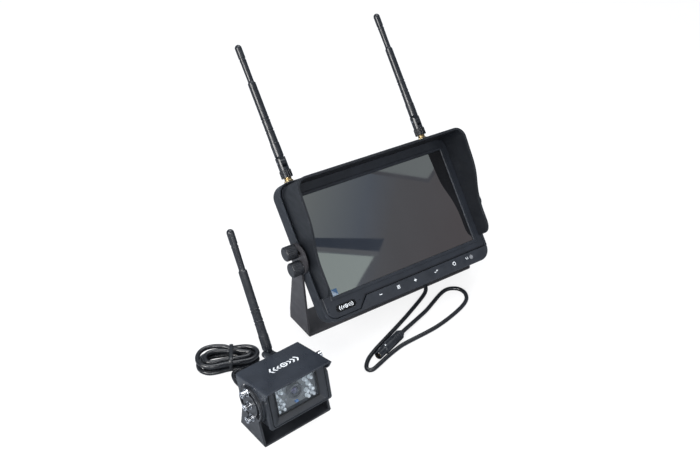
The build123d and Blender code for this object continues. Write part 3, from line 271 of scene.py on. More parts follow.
def led_resin_painted_highlight():
    """Clear epoxy over a silvered cup, coloured near white as a painted highlight for the light the domes
    catch, with a hard glint.
    """
    paint = Paint("led_resin_painted_highlight", IOR=1.53, Transmission_Weight=0.15, Coat_Weight=1.0, Coat_Roughness=0.03)
    haze = paint.spread(paint.noise(0.8, 3), 0, 1)
    # The near-white base colour is a painted highlight: clear epoxy itself is not white.
    paint.set("Base Color", paint.mix(haze, rgb(222, 228, 234), rgb(250, 252, 255)))
    paint.set("Roughness", paint.spread(paint.noise(0.5, 2), 0.06, 0.2))
    paint.bump(paint.noise(0.6, 2), 0.02)
    return paint.material


def printed(name, colour):
    """Screen-printed ink, slightly uneven and rubbed."""
    paint = Paint(name, Roughness=0.5)
    worn = tuple(c * 0.72 for c in colour[:3]) + (1,)
    paint.set("Base Color", paint.mix(paint.spread(paint.noise(0.8, 5), 0, 1), worn, colour))
    paint.bump(paint.noise(0.2, 2), 0.01)
    return paint.material


def film():
    """The pull tab of the protective film: one half tinted blue, the other milky."""
    paint = Paint("film", Roughness=0.25, Coat_Weight=0.6)
    low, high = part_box("film_tab")
    middle = (low + high) / 2
    slant = (SCREEN.u + SCREEN.v).normalized()
    offset = paint.add("ShaderNodeVectorMath", {0: paint.place, 1: middle}, operation="SUBTRACT")
    across = paint.add("ShaderNodeVectorMath", {0: offset.outputs[0], 1: slant}, operation="DOT_PRODUCT")
    half = paint.spread(across.outputs["Value"], 0, 1, -0.1 * MM, 0.1 * MM)
    creased = paint.noise(1.4, 4)
    blue = paint.mix(paint.spread(creased, 0, 1), rgb(44, 72, 104), rgb(62, 94, 126))
    milky = paint.mix(paint.spread(creased, 0, 1), rgb(112, 126, 142), rgb(144, 156, 170))
    paint.set("Base Color", paint.mix(half, milky, blue))
    paint.bump(creased, 0.05)
    return paint.material


CHARCOAL = rgb(26, 30, 37)
INK = rgb(226, 230, 234)
RUBBED = rgb(58, 64, 73)

casing = moulded("casing_plastic", CHARCOAL, 0.48, edge=0.25, wear=RUBBED, Specular_IOR_Level=0.35)
# The sunshade's plastic is darker than the casing's: painted shade for the shaded inside of the hood.
shade_plastic = moulded(
    "shade_plastic", rgb(19, 22, 27), 0.5, edge=0.25, wear=RUBBED, Specular_IOR_Level=0.35
)
key_plastic = moulded("key_plastic", rgb(28, 32, 39), 0.38, grain=0.4, depth=0.006, edge=0.2, wear=RUBBED)
badge_plastic = moulded("badge_plastic", rgb(14, 15, 17), 0.14, grain=2.0, depth=0.01)
ir_plastic = moulded("ir_plastic", rgb(112, 114, 118), 0.2, grain=0.5, depth=0.02)
knob_plastic = moulded("knob_plastic", rgb(26, 28, 33), 0.4, edge=0.1, wear=rgb(46, 50, 57))
antenna_plastic = moulded(
    "antenna_plastic", rgb(20, 23, 28), 0.3, grain=0.5, depth=0.006, edge=0.1, wear=rgb(40, 45, 54)
)
nut_metal = moulded("nut_metal", rgb(24, 26, 30), 0.3, Metallic=0.5, edge=0.1, wear=rgb(78, 82, 88))
bracket_paint = moulded(
    "bracket_paint", rgb(52, 51, 54), 0.4, grain=0.8, depth=0.02, wear=rgb(30, 31, 33), edge=0.3
)
camera_bracket_paint = moulded(
    "camera_bracket_paint", rgb(34, 36, 40), 0.36, grain=0.8, depth=0.02, wear=rgb(70, 74, 80), edge=0.2
)
camera_paint = moulded(
    "camera_paint", rgb(32, 35, 40), 0.38, grain=0.6, depth=0.015, wear=rgb(74, 79, 86), edge=0.25
)
hood_paint = moulded(
    "hood_paint", rgb(34, 38, 45), 0.3, grain=1.1, depth=0.006, wear=rgb(72, 78, 86), edge=0.25
)
rubber = moulded("rubber", rgb(20, 21, 23), 0.62, grain=0.4, depth=0.02)
plug_plastic = moulded("plug_plastic", rgb(26, 29, 34), 0.3, grain=0.5, depth=0.006, edge=0.2)
tie_plastic = moulded("tie_plastic", rgb(22, 24, 28), 0.32, grain=0.6, depth=0.02)
lens_holder = moulded(
    "lens_holder", rgb(70, 72, 74), 0.4, grain=0.4, depth=0.01, edge=0.15, wear=rgb(104, 106, 109)
)
grey_board = moulded("grey_board", rgb(112, 114, 115), 0.5, grain=0.5, depth=0.01, mottle=0.06)
speaker_black = moulded("speaker_black", rgb(26, 26, 27), 0.55, grain=0.3)
panel_black = moulded("panel_black", rgb(12, 12, 14), 0.3)
steel = turned("steel", rgb(214, 216, 220), 0.16)
dull_steel = turned("dull_steel", rgb(186, 189, 194), 0.3)
gold = turned("gold", rgb(206, 188, 150), 0.28)
brass = turned("brass", rgb(200, 168, 96), 0.26)
cable_jacket = jacket("cable_jacket", rgb(17, 19, 23), 0.31)
green_board = board("green_board", rgb(22, 84, 46), rgb(176, 140, 70))
window_clear = clear_sheet("window_clear", rgb(120, 128, 136), 0.03)
painted_highlight_resin = led_resin_painted_highlight()
white_ink = printed("white_ink", INK)
film_material = film()
glass_material = screen_glass()


def lens_coating():
    """The lens glass: dark, with a violet to green coating that shifts with the angle."""
    paint = Paint("lens_coating", Roughness=0.03, IOR=1.6, Coat_Weight=1.0, Coat_Roughness=0.02)
    facing = paint.add("ShaderNodeLayerWeight", {"Blend": 0.4}).outputs["Facing"]
    swirl = paint.math("ADD", facing, paint.spread(paint.noise(1.5, 2), -0.1, 0.1))
    paint.set("Base Color", paint.mix(swirl, rgb(46, 40, 62), rgb(34, 62, 56)))
    paint.set("Specular Tint", rgb(190, 170, 255))
    return paint.material


def sensor_tint():
    """The light sensor's blue window."""
    paint = Paint("sensor_tint", Roughness=0.1, Coat_Weight=1.0)
    swirl = paint.spread(paint.noise(0.5, 3), 0, 1)
    paint.set("Base Color", paint.mix(swirl, rgb(44, 96, 168), rgb(88, 150, 214)))
    return paint.material


FINISH = {
    casing: ("rear_cover", "front_frame"),
    shade_plastic: ("sunshade",),
    key_plastic: ("key_strip",),
    badge_plastic: ("badge_plate",),
    ir_plastic: ("ir_window",),
    glass_material: ("lcd_glass",),
    panel_black: ("lcd_panel",),
    film_material: ("film_tab",),
    green_board: ("main_board", "touch_board", "cam_sensor_board", "cam_radio_board"),
    speaker_black: ("speaker",),
    bracket_paint: ("monitor_bracket",),
    camera_bracket_paint: ("cam_bracket",),
    camera_paint: ("cam_body", "cam_bezel"),
    lens_holder: ("cam_lens_barrel",),
    hood_paint: ("cam_hood", "cam_rivets"),
    steel: ("cam_side_screws", "cam_washers"),
    dull_steel: (
        "rear_screws", "cam_rear_screws", "knob_washers",
        "left_antenna_pin", "right_antenna_pin", "cam_antenna_pin",
    ),
    brass: ("side_inserts", "plug_contacts"),
    gold: ("antenna_jacks", "cam_jack"),
    knob_plastic: ("knob_left_upper", "knob_left_lower", "knob_right_upper", "knob_right_lower"),
    antenna_plastic: tuple(f"{a}_antenna_{p}" for a in ("left", "right", "cam") for p in ("rod", "barrel")),
    nut_metal: ("left_antenna_nut", "right_antenna_nut", "cam_antenna_nut"),
    cable_jacket: ("power_lead", "lead_tail", "cam_cable", "cam_tail"),
    rubber: ("lead_grommet", "cam_gland", "cam_gasket"),
    plug_plastic: ("plug_body",),
    window_clear: ("cam_window",),
    grey_board: ("cam_led_board",),
    painted_highlight_resin: ("cam_leds",),
    sensor_tint(): ("cam_light_sensor",),
    lens_coating(): ("cam_lens",),
    tie_plastic: ("cam_cable_tie",),
}

for material, names in FINISH.items():
    for name in names:
        nodes[name].data.materials.clear()
        nodes[name].data.materials.append(material)

# ---------------------------------------------------------------- mesh helpers


def piece(name, shape, body, material, smooth=True):
    """A mesh piece from (vertices, faces), with its normals out, riding on a body if one is given."""
    vertices, faces = shape
    mesh = bpy.data.meshes.new(name)
    mesh.from_pydata([tuple(v) for v in vertices], [], faces)
    work = bmesh.new()
    work.from_mesh(mesh)
    bmesh.ops.recalc_face_normals(work, faces=work.faces)
    work.to_mesh(mesh)
    work.free()
    mesh.materials.append(material)
    made = bpy.data.objects.new(name, mesh)
    bpy.context.scene.collection.objects.link(made)
    if smooth:
        mesh.shade_smooth()
        mesh.set_sharp_from_angle(angle=radians(40))
    if body:
        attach(made, body)
    return made


def smooth_path(points, step, closed=False):
    """Points in millimetres along a Catmull-Rom curve through the given ones, about step apart."""
    points = [Vector(p) for p in points]
    if closed:
        padded = [points[-1]] + points + points[:2]
    else:
        padded = [points[0] * 2 - points[1]] + points + [points[-1] * 2 - points[-2]]
    path = []
    for p0, p1, p2, p3 in zip(padded, padded[1:], padded[2:], padded[3:]):
        pieces = max(2, round((p2 - p1).length / step))
        for index in range(pieces):
            t = index / pieces
            path.append(
                ((p1 * 2) + (p2 - p0) * t + (p0 * 2 - p1 * 5 + p2 * 4 - p3) * t**2
                 + (p1 * 3 - p0 - p2 * 3 + p3) * t**3) / 2
            )
    if not closed:
        path.append(points[-1])
    return path


def sweep(path, section, first_side, closed=False):
    """(vertices, faces) of a section carried along a path in millimetres without twisting."""
    count, corners = len(path), len(section)
    side = Vector(first_side)
    vertices, faces = [], []
    for index, point in enumerate(path):
        after = path[(index + 1) % count] if closed else path[min(index + 1, count - 1)]
        before = path[index - 1] if closed or index else path[0]
        along = (after - before).normalized()
        side = (side - along * side.dot(along)).normalized()
        up = along.cross(side)
        vertices += [(point + side * a + up * b) * MM for a, b in section]
    for ring in range(count if closed else count - 1):
        start, end = ring * corners, (ring + 1) % count * corners
        for corner in range(corners):
            following = (corner + 1) % corners
            faces.append((start + corner, start + following, end + following, end + corner))
    if not closed:
        faces.append(tuple(range(corners)))
        faces.append(tuple(range((count - 1) * corners, count * corners)))
    return vertices, faces


def circle(radius, corners=18, flat=1.0):
    """Points of a circle, or of an oval if flat is below 1."""
    return [(radius * cos(tau * i / corners), radius * flat * sin(tau * i / corners)) for i in range(corners)]


def prism(face, outline, low, high):
    """(vertices, faces) of a flat outline in a face's u and v, from height low to high."""
    count = len(outline)
    vertices = [face.at(u, v, n) for n in (low, high) for u, v in outline]
    faces = [tuple(range(count)), tuple(range(count, 2 * count))]
    faces += [(i, (i + 1) % count, (i + 1) % count + count, i + count) for i in range(count)]
    return vertices, faces


def band(face, inner, outer, low, high, closed=True):
    """(vertices, faces) of a flat band between two outlines of the same length."""
    count = len(inner)
    vertices = [face.at(u, v, n) for n in (low, high) for line in (inner, outer) for u, v in line]
    faces = []
    for i in range(count if closed else count - 1):
        j = (i + 1) % count
        faces += [
            (i, j, count + j, count + i),
            (2 * count + i, 2 * count + j, 3 * count + j, 3 * count + i),
            (i, j, 2 * count + j, 2 * count + i),
            (count + i, count + j, 3 * count + j, 3 * count + i),
        ]
    if not closed:
        last = count - 1
        faces += [(0, count, 3 * count, 2 * count), (last, count + last, 3 * count + last, 2 * count + last)]
    return vertices, faces


def ring(face, u, v, inner, outer, low, high, corners=28, start=0.0, turn=tau):
    """(vertices, faces) of a flat ring, or of an arc of one."""
    closed = turn >= tau
    steps = corners if closed else corners + 1
    angles = [start + turn * i / corners for i in range(steps)]
    lines = [[(u + r * cos(a), v + r * sin(a)) for a in angles] for r in (inner, outer)]
    return band(face, lines[0], lines[1], low, high, closed)


def block(face, u, v, width, height, low, high, turn=0.0):
    """(vertices, faces) of a small rectangular plate, turned about its middle."""
    corners = [(a * width / 2, b * height / 2) for a, b in ((-1, -1), (1, -1), (1, 1), (-1, 1))]
    spun = [(u + a * cos(turn) - b * sin(turn), v + a * sin(turn) + b * cos(turn)) for a, b in corners]
    return prism(face, spun, low, high)


def joined(shapes):
    """Several (vertices, faces) shapes as one."""
    vertices, faces = [], []
    for some_vertices, some_faces in shapes:
        start = len(vertices)
        vertices += some_vertices
        faces += [tuple(start + i for i in f) for f in some_faces]
    return vertices, faces


# ---------------------------------------------------------------- power lead

LEAD_RADIUS = 1.9
CASE_REAR = -15
GROMMET_U = 38
GROMMET_V = -45
GROMMET_EXIT = SCREEN.at(GROMMET_U, GROMMET_V, CASE_REAR) / MM
GROMMET_OUT = -SCREEN.n
# The middle of the plug's back, and the way that its nose points.
PLUG_BACK = Vector((-26.8, -61.2, 4.6))
PLUG_OUT = Vector((-0.938, -0.348, 0)).normalized()
# A painted glint on top of the barrel, made as a raised white spot: its place from the plug's back, sunk a
# little into the round top.
GLINT_ALONG = 23.6
GLINT_SUNK = 4.35
GLINT_RADIUS = 0.7
GLINT_HEIGHT = 0.22

# Down from the grommet, out along the table, round one end, round the other, and into the plug.
lead_points = [GROMMET_EXIT + GROMMET_OUT * s for s in (-5.5, 0, 5)]
lead_points += [
    (38.1, -7.0, 19.6), (38.3, -3.0, 14.2), (38.5, -1.6, 8.8), (38.6, -4.4, 4.0), (38.4, -10.0, 2.0),
    (36.6, -17.0, LEAD_RADIUS), (28.0, -25.6, LEAD_RADIUS), (2.0, -38.6, LEAD_RADIUS),
    (-20.0, -48.4, LEAD_RADIUS), (-37.6, -55.8, LEAD_RADIUS), (-54.0, -62.8, LEAD_RADIUS),
    (-66.0, -69.2, LEAD_RADIUS), (-73.4, -76.2, LEAD_RADIUS), (-74.2, -80.6, LEAD_RADIUS),
    (-70.6, -82.2, LEAD_RADIUS), (-62.4, -79.9, LEAD_RADIUS), (-51.5, -76.3, LEAD_RADIUS),
    (-39.5, -73.0, LEAD_RADIUS), (-28.0, -71.0, LEAD_RADIUS), (-2.0, -69.7, LEAD_RADIUS),
    (12.0, -68.2, LEAD_RADIUS), (27.0, -65.1, LEAD_RADIUS), (42.0, -60.8, LEAD_RADIUS),
    (52.4, -56.4, LEAD_RADIUS), (58.8, -51.4, LEAD_RADIUS), (62.2, -44.4, LEAD_RADIUS),
    (61.2, -37.6, LEAD_RADIUS), (56.6, -33.2, LEAD_RADIUS), (50.0, -31.5, LEAD_RADIUS),
    (41.0, -33.7, LEAD_RADIUS), (29.0, -39.1, LEAD_RADIUS), (15.0, -45.6, 2.1), (0.6, -51.0, 2.9),
]
for behind, drop in ((14, 0.6), (7, 0.1), (1.4, 0)):
    lead_points.append(PLUG_BACK - PLUG_OUT * behind - Vector((0, 0, drop)))
lead_path = smooth_path(lead_points, 1.3)
lead_shape = sweep(lead_path, circle(LEAD_RADIUS), (1, 0, 0))
lead = piece("lead", lead_shape, None, cable_jacket)
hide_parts("power_lead", "lead_tail")
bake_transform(lead)

# A raised spot in the white ink material: a painted glint of light on the plug's barrel.
plug_top = Face((PLUG_BACK + PLUG_OUT * GLINT_ALONG + Vector((0, 0, GLINT_SUNK))) * MM, PLUG_OUT, (0, 0, 1))
glint_shape = prism(plug_top, circle(GLINT_RADIUS), 0.0, GLINT_HEIGHT)
piece("plug_painted_glint", glint_shape, "base", white_ink)

# ---------------------------------------------------------------- camera cable, tied in a hank

CABLE_RADIUS = 1.95
GLAND_U = -9
GLAND_V = -5
GLAND_END = -13
GLAND_EXIT = CAMERA.at(GLAND_U, GLAND_V, GLAND_END) / MM
GLAND_OUT = -CAMERA.n

# The middle of the bundle, round the two lobes that the tie pulls together.
HANK_LOOP = (
    (-168.0, 4.6), (-175.6, 7.8), (-181.8, 7.4), (-186.8, 3.2), (-188.6, -2.8), (-186.0, -8.2),
    (-180.0, -11.0), (-173.4, -12.6), (-167.8, -14.4), (-160.6, -17.2), (-153.8, -19.2),
    (-148.2, -17.4), (-146.8, -12.8), (-149.8, -8.4), (-155.6, -4.6), (-161.6, -0.8),
)
# Where each turn lies in the bundle: outwards from its middle, and above the table.
TURNS = ((-1.9, 1.98), (2.2, 2.0), (0.1, 5.5), (-2.7, 8.6), (2.4, 8.9), (3.4, 5.6))


def hank_offset(turn, share):
    """(outward, up) of a strand at a share of its turn, easing into the next turn's place at the end."""
    ease = min(1, max(0, (share - 0.78) / 0.22))
    ease = ease * ease * (3 - 2 * ease)
    here, following = TURNS[turn], TURNS[min(turn + 1, len(TURNS) - 1)]
    out = here[0] + (following[0] - here[0]) * ease
    up = here[1] + (following[1] - here[1]) * ease
    fan = sin(pi * min(1, share / 0.5)) if share < 0.5 else 0.55 * sin(pi * (share - 0.5) / 0.5)
    out += fan * (0.9 * out / 2.5 + 0.8 * sin(2.1 * turn + 5 * share))
    up += fan * 0.35 * (1 + sin(1.7 * turn + 4 * share)) * (up > 3)
    return out, up


def hank_path(turns, end_share):
    """The strand's path through all turns of the hank."""
    loop = smooth_path([(x, y, 0) for x, y in HANK_LOOP], 1.5, closed=True)
    count = len(loop)
    path = []
    for turn in range(turns):
        last = turn == turns - 1
        for index in range(round(count * end_share) if last else count):
            along = (loop[(index + 1) % count] - loop[index - 1]).normalized()
            outward = Vector((-along.y, along.x, 0)) * -1
            out, up = hank_offset(turn, index / count)
            path.append(loop[index] + outward * out + Vector((0, 0, up)))
    return path


hank = hank_path(5, 0.93)
run_points = [GLAND_EXIT + GLAND_OUT * s for s in (-3.5, 0, 5, 10)]
run_points += [
    (-169.4, -58.6, 18.6), (-170.0, -53.2, 11.6), (-170.8, -49.0, 5.4), (-171.6, -44.4, 2.4),
    (-172.6, -38.0, CABLE_RADIUS), (-173.0, -30.0, CABLE_RADIUS), (-170.6, -22.4, CABLE_RADIUS),
    (-163.4, -20.2, 2.0), (-157.4, -21.4, 2.0), (-150.8, -20.6, 2.0), (-146.4, -16.2, 2.0),
    (-146.8, -10.0, 2.0), (-153.6, -4.2, 2.0), (-161.4, 0.2, 1.98),
]
cable_path = smooth_path(run_points, 1.4) + hank[1:]
cable_shape = sweep(cable_path, circle(CABLE_RADIUS, 16), (1, 0, 0))
cable = piece("camera_cable", cable_shape, None, cable_jacket)
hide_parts("cam_cable", "cam_tail")
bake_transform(cable)

WAIST = Vector((-164.6, -7.6, 0))
WAIST_ACROSS = Vector((0.485, 0.874, 0)).normalized()


def tie_loop(half_width, top, radius):
    """The rounded rectangle of the tie, round the bundle's waist."""
    path = []
    low = 0.5
    for corner, (side, level) in enumerate(((1, 1), (-1, 1), (-1, 0), (1, 0))):
        centre = WAIST + WAIST_ACROSS * (side * (half_width - radius))
        centre.z = top - radius if level else low + radius
        for step in range(7):
            angle = pi / 2 * (corner + step / 6)
            path.append(centre + (WAIST_ACROSS * cos(angle) + Vector((0, 0, 1)) * sin(angle)) * radius)
    return path


def twisted_tails(root, heading, length, turns):
    """Two thin strips twisted round each other, rising a little from the table."""
    shapes = []
    for phase in (0, pi):
        path = []
        for step in range(40):
            share = step / 39
            angle = phase + tau * turns * share
            middle = root + heading * (length * share) + Vector((0, 0, 2.2 * sin(pi * share * 0.6)))
            across = heading.cross(Vector((0, 0, 1))).normalized()
            path.append(middle + (across * cos(angle) + Vector((0, 0, 1)) * sin(angle)) * 0.75)
        shapes.append(sweep(path, circle(0.62, 8), (0, 0, 1)))
    return shapes


tie_shapes = [sweep(tie_loop(11.6, 12.4, 4.0), circle(0.5, 10, 3.2), WAIST_ACROSS, closed=True)]
tie_shapes += twisted_tails(Vector((-168.4, -18.6, 2.6)), Vector((0.55, -0.83, 0)).normalized(), 9.5, 2.5)
tie = piece("twist_tie", joined(tie_shapes), "camera_base", tie_plastic)
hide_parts("cam_cable_tie")

# ---------------------------------------------------------------- printed marks

INK_SUNK = 0.02
INK_HEIGHT = 0.06
HOOD_INK_HEIGHT = 0.08
LEGEND_V = -54.4
BADGE_U = -69.3
BADGE_V = -51.7
BADGE_SCALE = 0.68
HOOD_U = 2.0
HOOD_V = -2.0
HOOD_SCALE = 1.25


def key_legends():
    """Generic signs of the touch keys, printed on the key strip."""
    low, high = KEY_TOP - INK_SUNK, KEY_TOP + INK_HEIGHT
    minus_u, menu_u, plus_u, swap_u, power_u, remote_u = -34, -14.8, 3.9, 27.8, 48.9, 63.2
    shapes = [block(SCREEN, minus_u, LEGEND_V, 2.8, 0.7, low, high)]
    shapes += [block(SCREEN, menu_u, LEGEND_V + dv, 3.0, 0.62, low, high) for dv in (-1.2, 0, 1.2)]
    shapes.append(block(SCREEN, plus_u, LEGEND_V, 2.9, 0.75, low, high))
    shapes += [block(SCREEN, plus_u, LEGEND_V + dv, 0.75, 1.08, low, high) for dv in (-0.91, 0.91)]
    for side in (-1, 1):
        v = LEGEND_V + side * 0.55
        shapes.append(block(SCREEN, swap_u + side * 0.9, v, 1.9, 0.6, low, high))
        tip = swap_u + side * 2.3
        arrow = [(tip, v), (tip - side * 1.1, v + 0.8), (tip - side * 1.1, v - 0.8)]
        shapes.append(prism(SCREEN, arrow, low, high))
    shapes.append(ring(SCREEN, power_u, LEGEND_V, 1.1, 1.75, low, high))
    shapes.append(block(SCREEN, remote_u, LEGEND_V, 0.6, 2.2, low, high, 0.5))
    shapes.append(ring(SCREEN, remote_u + 0.8, LEGEND_V, 0.9, 1.4, low, high, 12, -1.1, 2.2))
    return joined(shapes)


def chevron(face, u, v, width, height, stroke, side, low, high):
    """An arrow-like stroke that points to one side."""
    outer = [(u - side * width / 2, v + height / 2), (u + side * width / 2, v)]
    outer.append((u - side * width / 2, v - height / 2))
    inner = [(a - side * stroke, b) for a, b in outer]
    return band(face, inner, outer, low, high, closed=False)


def reversing_sign(face, u, v, scale, low, high):
    """A generic sign: a ring round a dot between rows of chevrons, for a rear-facing camera."""
    shapes = [ring(face, u, v, 1.5 * scale, 2.4 * scale, low, high)]
    shapes.append(prism(face, [(u + a, v + b) for a, b in circle(0.7 * scale)], low, high))
    for side in (-1, 1):
        for index in range(3):
            centre = u + side * (4.6 + 2.7 * index) * scale
            height = (3.4 + 1.1 * index) * scale
            shapes.append(chevron(face, centre, v, 1.5 * scale, height, 1.05 * scale, side, low, high))
    return joined(shapes)


piece("key_legends", key_legends(), "monitor", white_ink, smooth=False)
badge_shape = reversing_sign(
    SCREEN, BADGE_U, BADGE_V, BADGE_SCALE, BADGE_TOP - INK_SUNK, BADGE_TOP + INK_HEIGHT
)
piece("badge_sign", badge_shape, "monitor", white_ink, smooth=False)
hood_face = Face(CAMERA.at(0, 0, 0), CAMERA.u, CAMERA.v)
hood_shape = reversing_sign(
    hood_face, HOOD_U, HOOD_V, HOOD_SCALE, HOOD_TOP - INK_SUNK, HOOD_TOP + HOOD_INK_HEIGHT
)
piece("hood_sign", hood_shape, "camera_head", white_ink, smooth=False)

# ---------------------------------------------------------------- threads of the antenna jacks


def helix_thread(foot, out, across, start, end, root, crest, pitch):
    """(vertices, faces) of a closed threaded sleeve round an axis, in millimetres."""
    other = out.cross(across)
    sides, rows = 36, round((end - start) / pitch * 8)
    vertices, faces = [], []
    for row in range(rows + 1):
        s = start + (end - start) * row / rows
        for side in range(sides):
            wave = (s / pitch - side / sides) % 1.0
            radius = root + (crest - root) * (1 - abs(2 * wave - 1))
            angle = tau * side / sides
            vertices.append((foot + out * s + (across * cos(angle) + other * sin(angle)) * radius) * MM)
    for level in (start, end):
        for side in range(sides):
            angle = tau * side / sides
            spoke = across * cos(angle) + other * sin(angle)
            vertices.append((foot + out * level + spoke * (root - 0.3)) * MM)
    inner = (rows + 1) * sides
    for side in range(sides):
        following = (side + 1) % sides
        for row in range(rows):
            a, b = row * sides + side, row * sides + following
            faces.append((a, b, b + sides, a + sides))
        faces.append((side, following, inner + following, inner + side))
        top = rows * sides
        faces.append((top + side, top + following, inner + sides + following, inner + sides + side))
        faces.append((inner + side, inner + following, inner + sides + following, inner + sides + side))
    return vertices, faces


THREAD_PITCH = 0.7
THREAD_END = 0.62
THREAD_ROOT = 3.08
THREAD_CREST = 3.42

# Each thread's antenna, its body and where it starts, in front of the nut's foot.
THREADS = (("left", "monitor", -2.1), ("right", "monitor", -2.1), ("cam", "camera_head", -1.1))

for antenna, body, start in THREADS:
    turn = joints[f"{antenna}_nut_turn"]
    foot = Vector(turn["pos_m"]) / MM
    out = Vector(turn["axis"]).normalized()
    across = CAMERA.u if antenna == "cam" else SCREEN.u
    thread = helix_thread(foot, out, across, start, THREAD_END, THREAD_ROOT, THREAD_CREST, THREAD_PITCH)
    piece(f"{antenna}_jack_thread", thread, body, gold)

# ---------------------------------------------------------------- camera front

LENS_U, LENS_V = 1.0, 1.4
LED_FLOOR = reach(CAMERA, "cam_led_board", 2)
LED_MIDDLE = 0.4
LED_PAIR_ROWS = (10.6, 5.7, -4.4, -9.2)
LED_SPOTS = [(LED_MIDDLE + side * u, v) for side in (-1, 1) for v in LED_PAIR_ROWS for u in (11.4, 16.3)]
LED_SPOTS += [(LED_MIDDLE + side * 13.8, 0.6) for side in (-1, 1)]
CUP_SIDES = 14
# The cup's profile from its floor to its back: (radius, height above the board).
CUP_PROFILE = ((0.35, 1.25), (0.55, 1.3), (1.15, 2.1), (0.98, 2.12), (0.5, 1.5))
RING_BASE = 13.78
# The stepped rings: (outer radius, inner radius, front).
RING_STEPS = ((4.95, 4.5, 14.45), (4.5, 4.1, 14.2), (4.1, 3.8, 13.95))


def led_cups():
    """The silvered cup and chip inside each clear LED."""
    shapes = []
    for u, v in LED_SPOTS:
        vertices, faces = [], []
        for radius, height in CUP_PROFILE:
            vertices += [CAMERA.at(u + a, v + b, LED_FLOOR + height) for a, b in circle(radius, CUP_SIDES)]
        last = (len(CUP_PROFILE) - 1) * CUP_SIDES
        for low in range(0, last, CUP_SIDES):
            for i in range(CUP_SIDES):
                j = (i + 1) % CUP_SIDES
                faces.append((low + i, low + j, low + CUP_SIDES + j, low + CUP_SIDES + i))
        faces.append(tuple(range(CUP_SIDES)))
        faces.append(tuple(range(last, last + CUP_SIDES)))
        shapes.append((vertices, faces))
    return joined(shapes)


def board_parts():
    """Small resistors and solder pads between the LEDs and the lens."""
    shapes = []
    for side in (-1, 1):
        for index in range(4):
            v = -8.6 + 5.1 * index
            u = LENS_U + side * 7.9
            shapes.append(block(CAMERA, u, v, 0.8, 1.6, LED_FLOOR - 0.02, LED_FLOOR + 0.45))
    return joined(shapes)


def lens_rings():
    """The stepped black rings in front of the lens."""
    return joined(
        ring(CAMERA, LENS_U, LENS_V, inner, outer, RING_BASE, front, 40) for outer, inner, front in RING_STEPS
    )


piece("led_cups", led_cups(), "camera_head", steel)
piece("board_parts", board_parts(), "camera_head", dull_steel, smooth=False)
piece("lens_rings", lens_rings(), "camera_head", rubber, smooth=False)

# ---------------------------------------------------------------- studio

# The photo's camera: its place, and the way its right, top and back point.
EYE = Vector((-402.5, -524.2, 527.2)) * MM
RIGHT = Vector((0.8026, -0.5945, 0.0491))
UP = Vector((0.3208, 0.4997, 0.8046))
BACK = Vector((-0.5029, -0.6300, 0.5918))

camera = bpy.data.objects.new("camera", bpy.data.cameras.new("camera"))
bpy.context.scene.collection.objects.link(camera)
bpy.context.scene.camera = camera
camera.matrix_world = Matrix.Translation(EYE) @ Matrix((RIGHT, UP, BACK)).transposed().to_4x4()
camera.data.sensor_width = 36
camera.data.lens = 45.87
camera.data.shift_x = -0.0704
camera.data.shift_y = 0.0334
camera.data.clip_start = 0.01


def lamp(name, place, aim, size, power, colour=(1, 1, 1)):
    """A square soft box that looks at a point."""
    light = bpy.data.lights.new(name, "AREA")
    light.size = size
    light.energy = power
    light.color = colour
    made = bpy.data.objects.new(name, light)
    bpy.context.scene.collection.objects.link(made)
    made.location = place
    made.rotation_euler = (Vector(aim) - Vector(place)).to_track_quat("-Z", "Y").to_euler()
    return made


MIDDLE = (cad_low + cad_high) / 2
lamp("key", (-1.3, -0.35, 0.75), MIDDLE, 0.7, 26, (1.0, 0.985, 0.965))
lamp("top", (0.15, 0.25, 1.7), MIDDLE, 1.3, 26, (0.95, 0.975, 1.0))
lamp("front", (0.5, -1.5, 0.9), MIDDLE, 1.0, 6)
lamp("viewer", (-0.75, -1.25, 0.75), CAMERA.at(0, 0, LED_FLOOR), 0.4, 11)


def floor_material():
    """Pale paper: nearly even for the camera, while the object's faces get only part of its light."""
    paint = Paint("floor", Roughness=0.9)
    seen = paint.add("ShaderNodeLightPath").outputs["Is Camera Ray"]
    tone = paint.mix(paint.spread(paint.noise(60, 3), 0, 1), rgb(253, 253, 254), rgb(254, 254, 254))
    paint.set("Base Color", paint.mix(seen, rgb(150, 155, 162), tone))
    even = paint.add("ShaderNodeEmission", {"Color": tone, "Strength": 1.0}).outputs[0]
    share = paint.math("MULTIPLY", seen, 0.82)
    final = paint.add("ShaderNodeMixShader", {0: share, 1: paint.bsdf.outputs[0], 2: even}).outputs[0]
    paint.join(final, paint.tree.nodes["Material Output"].inputs["Surface"])
    return paint.material


def glow(name, colour, strength):
    """An emitting material for cards that only reflections see."""
    material = bpy.data.materials.new(name)
    material.use_nodes = True
    material.node_tree.nodes.clear()
    emission = material.node_tree.nodes.new("ShaderNodeEmission")
    emission.inputs["Color"].default_value = colour
    emission.inputs["Strength"].default_value = strength
    output = material.node_tree.nodes.new("ShaderNodeOutputMaterial")
    material.node_tree.links.new(emission.outputs[0], output.inputs["Surface"])
    return material


def stage_mesh(name, vertices, faces, material):
    mesh = bpy.data.meshes.new(name)
    mesh.from_pydata([tuple(v) for v in vertices], [], faces)
    mesh.materials.append(material)
    made = bpy.data.objects.new(name, mesh)
    bpy.context.scene.collection.objects.link(made)
    return made


FLOOR_HALF = 8.0
floor_corners = [(-FLOOR_HALF, -FLOOR_HALF, 0), (FLOOR_HALF, -FLOOR_HALF, 0),
                 (FLOOR_HALF, FLOOR_HALF, 0), (-FLOOR_HALF, FLOOR_HALF, 0)]
stage_mesh("floor", floor_corners, [(0, 1, 2, 3)], floor_material())


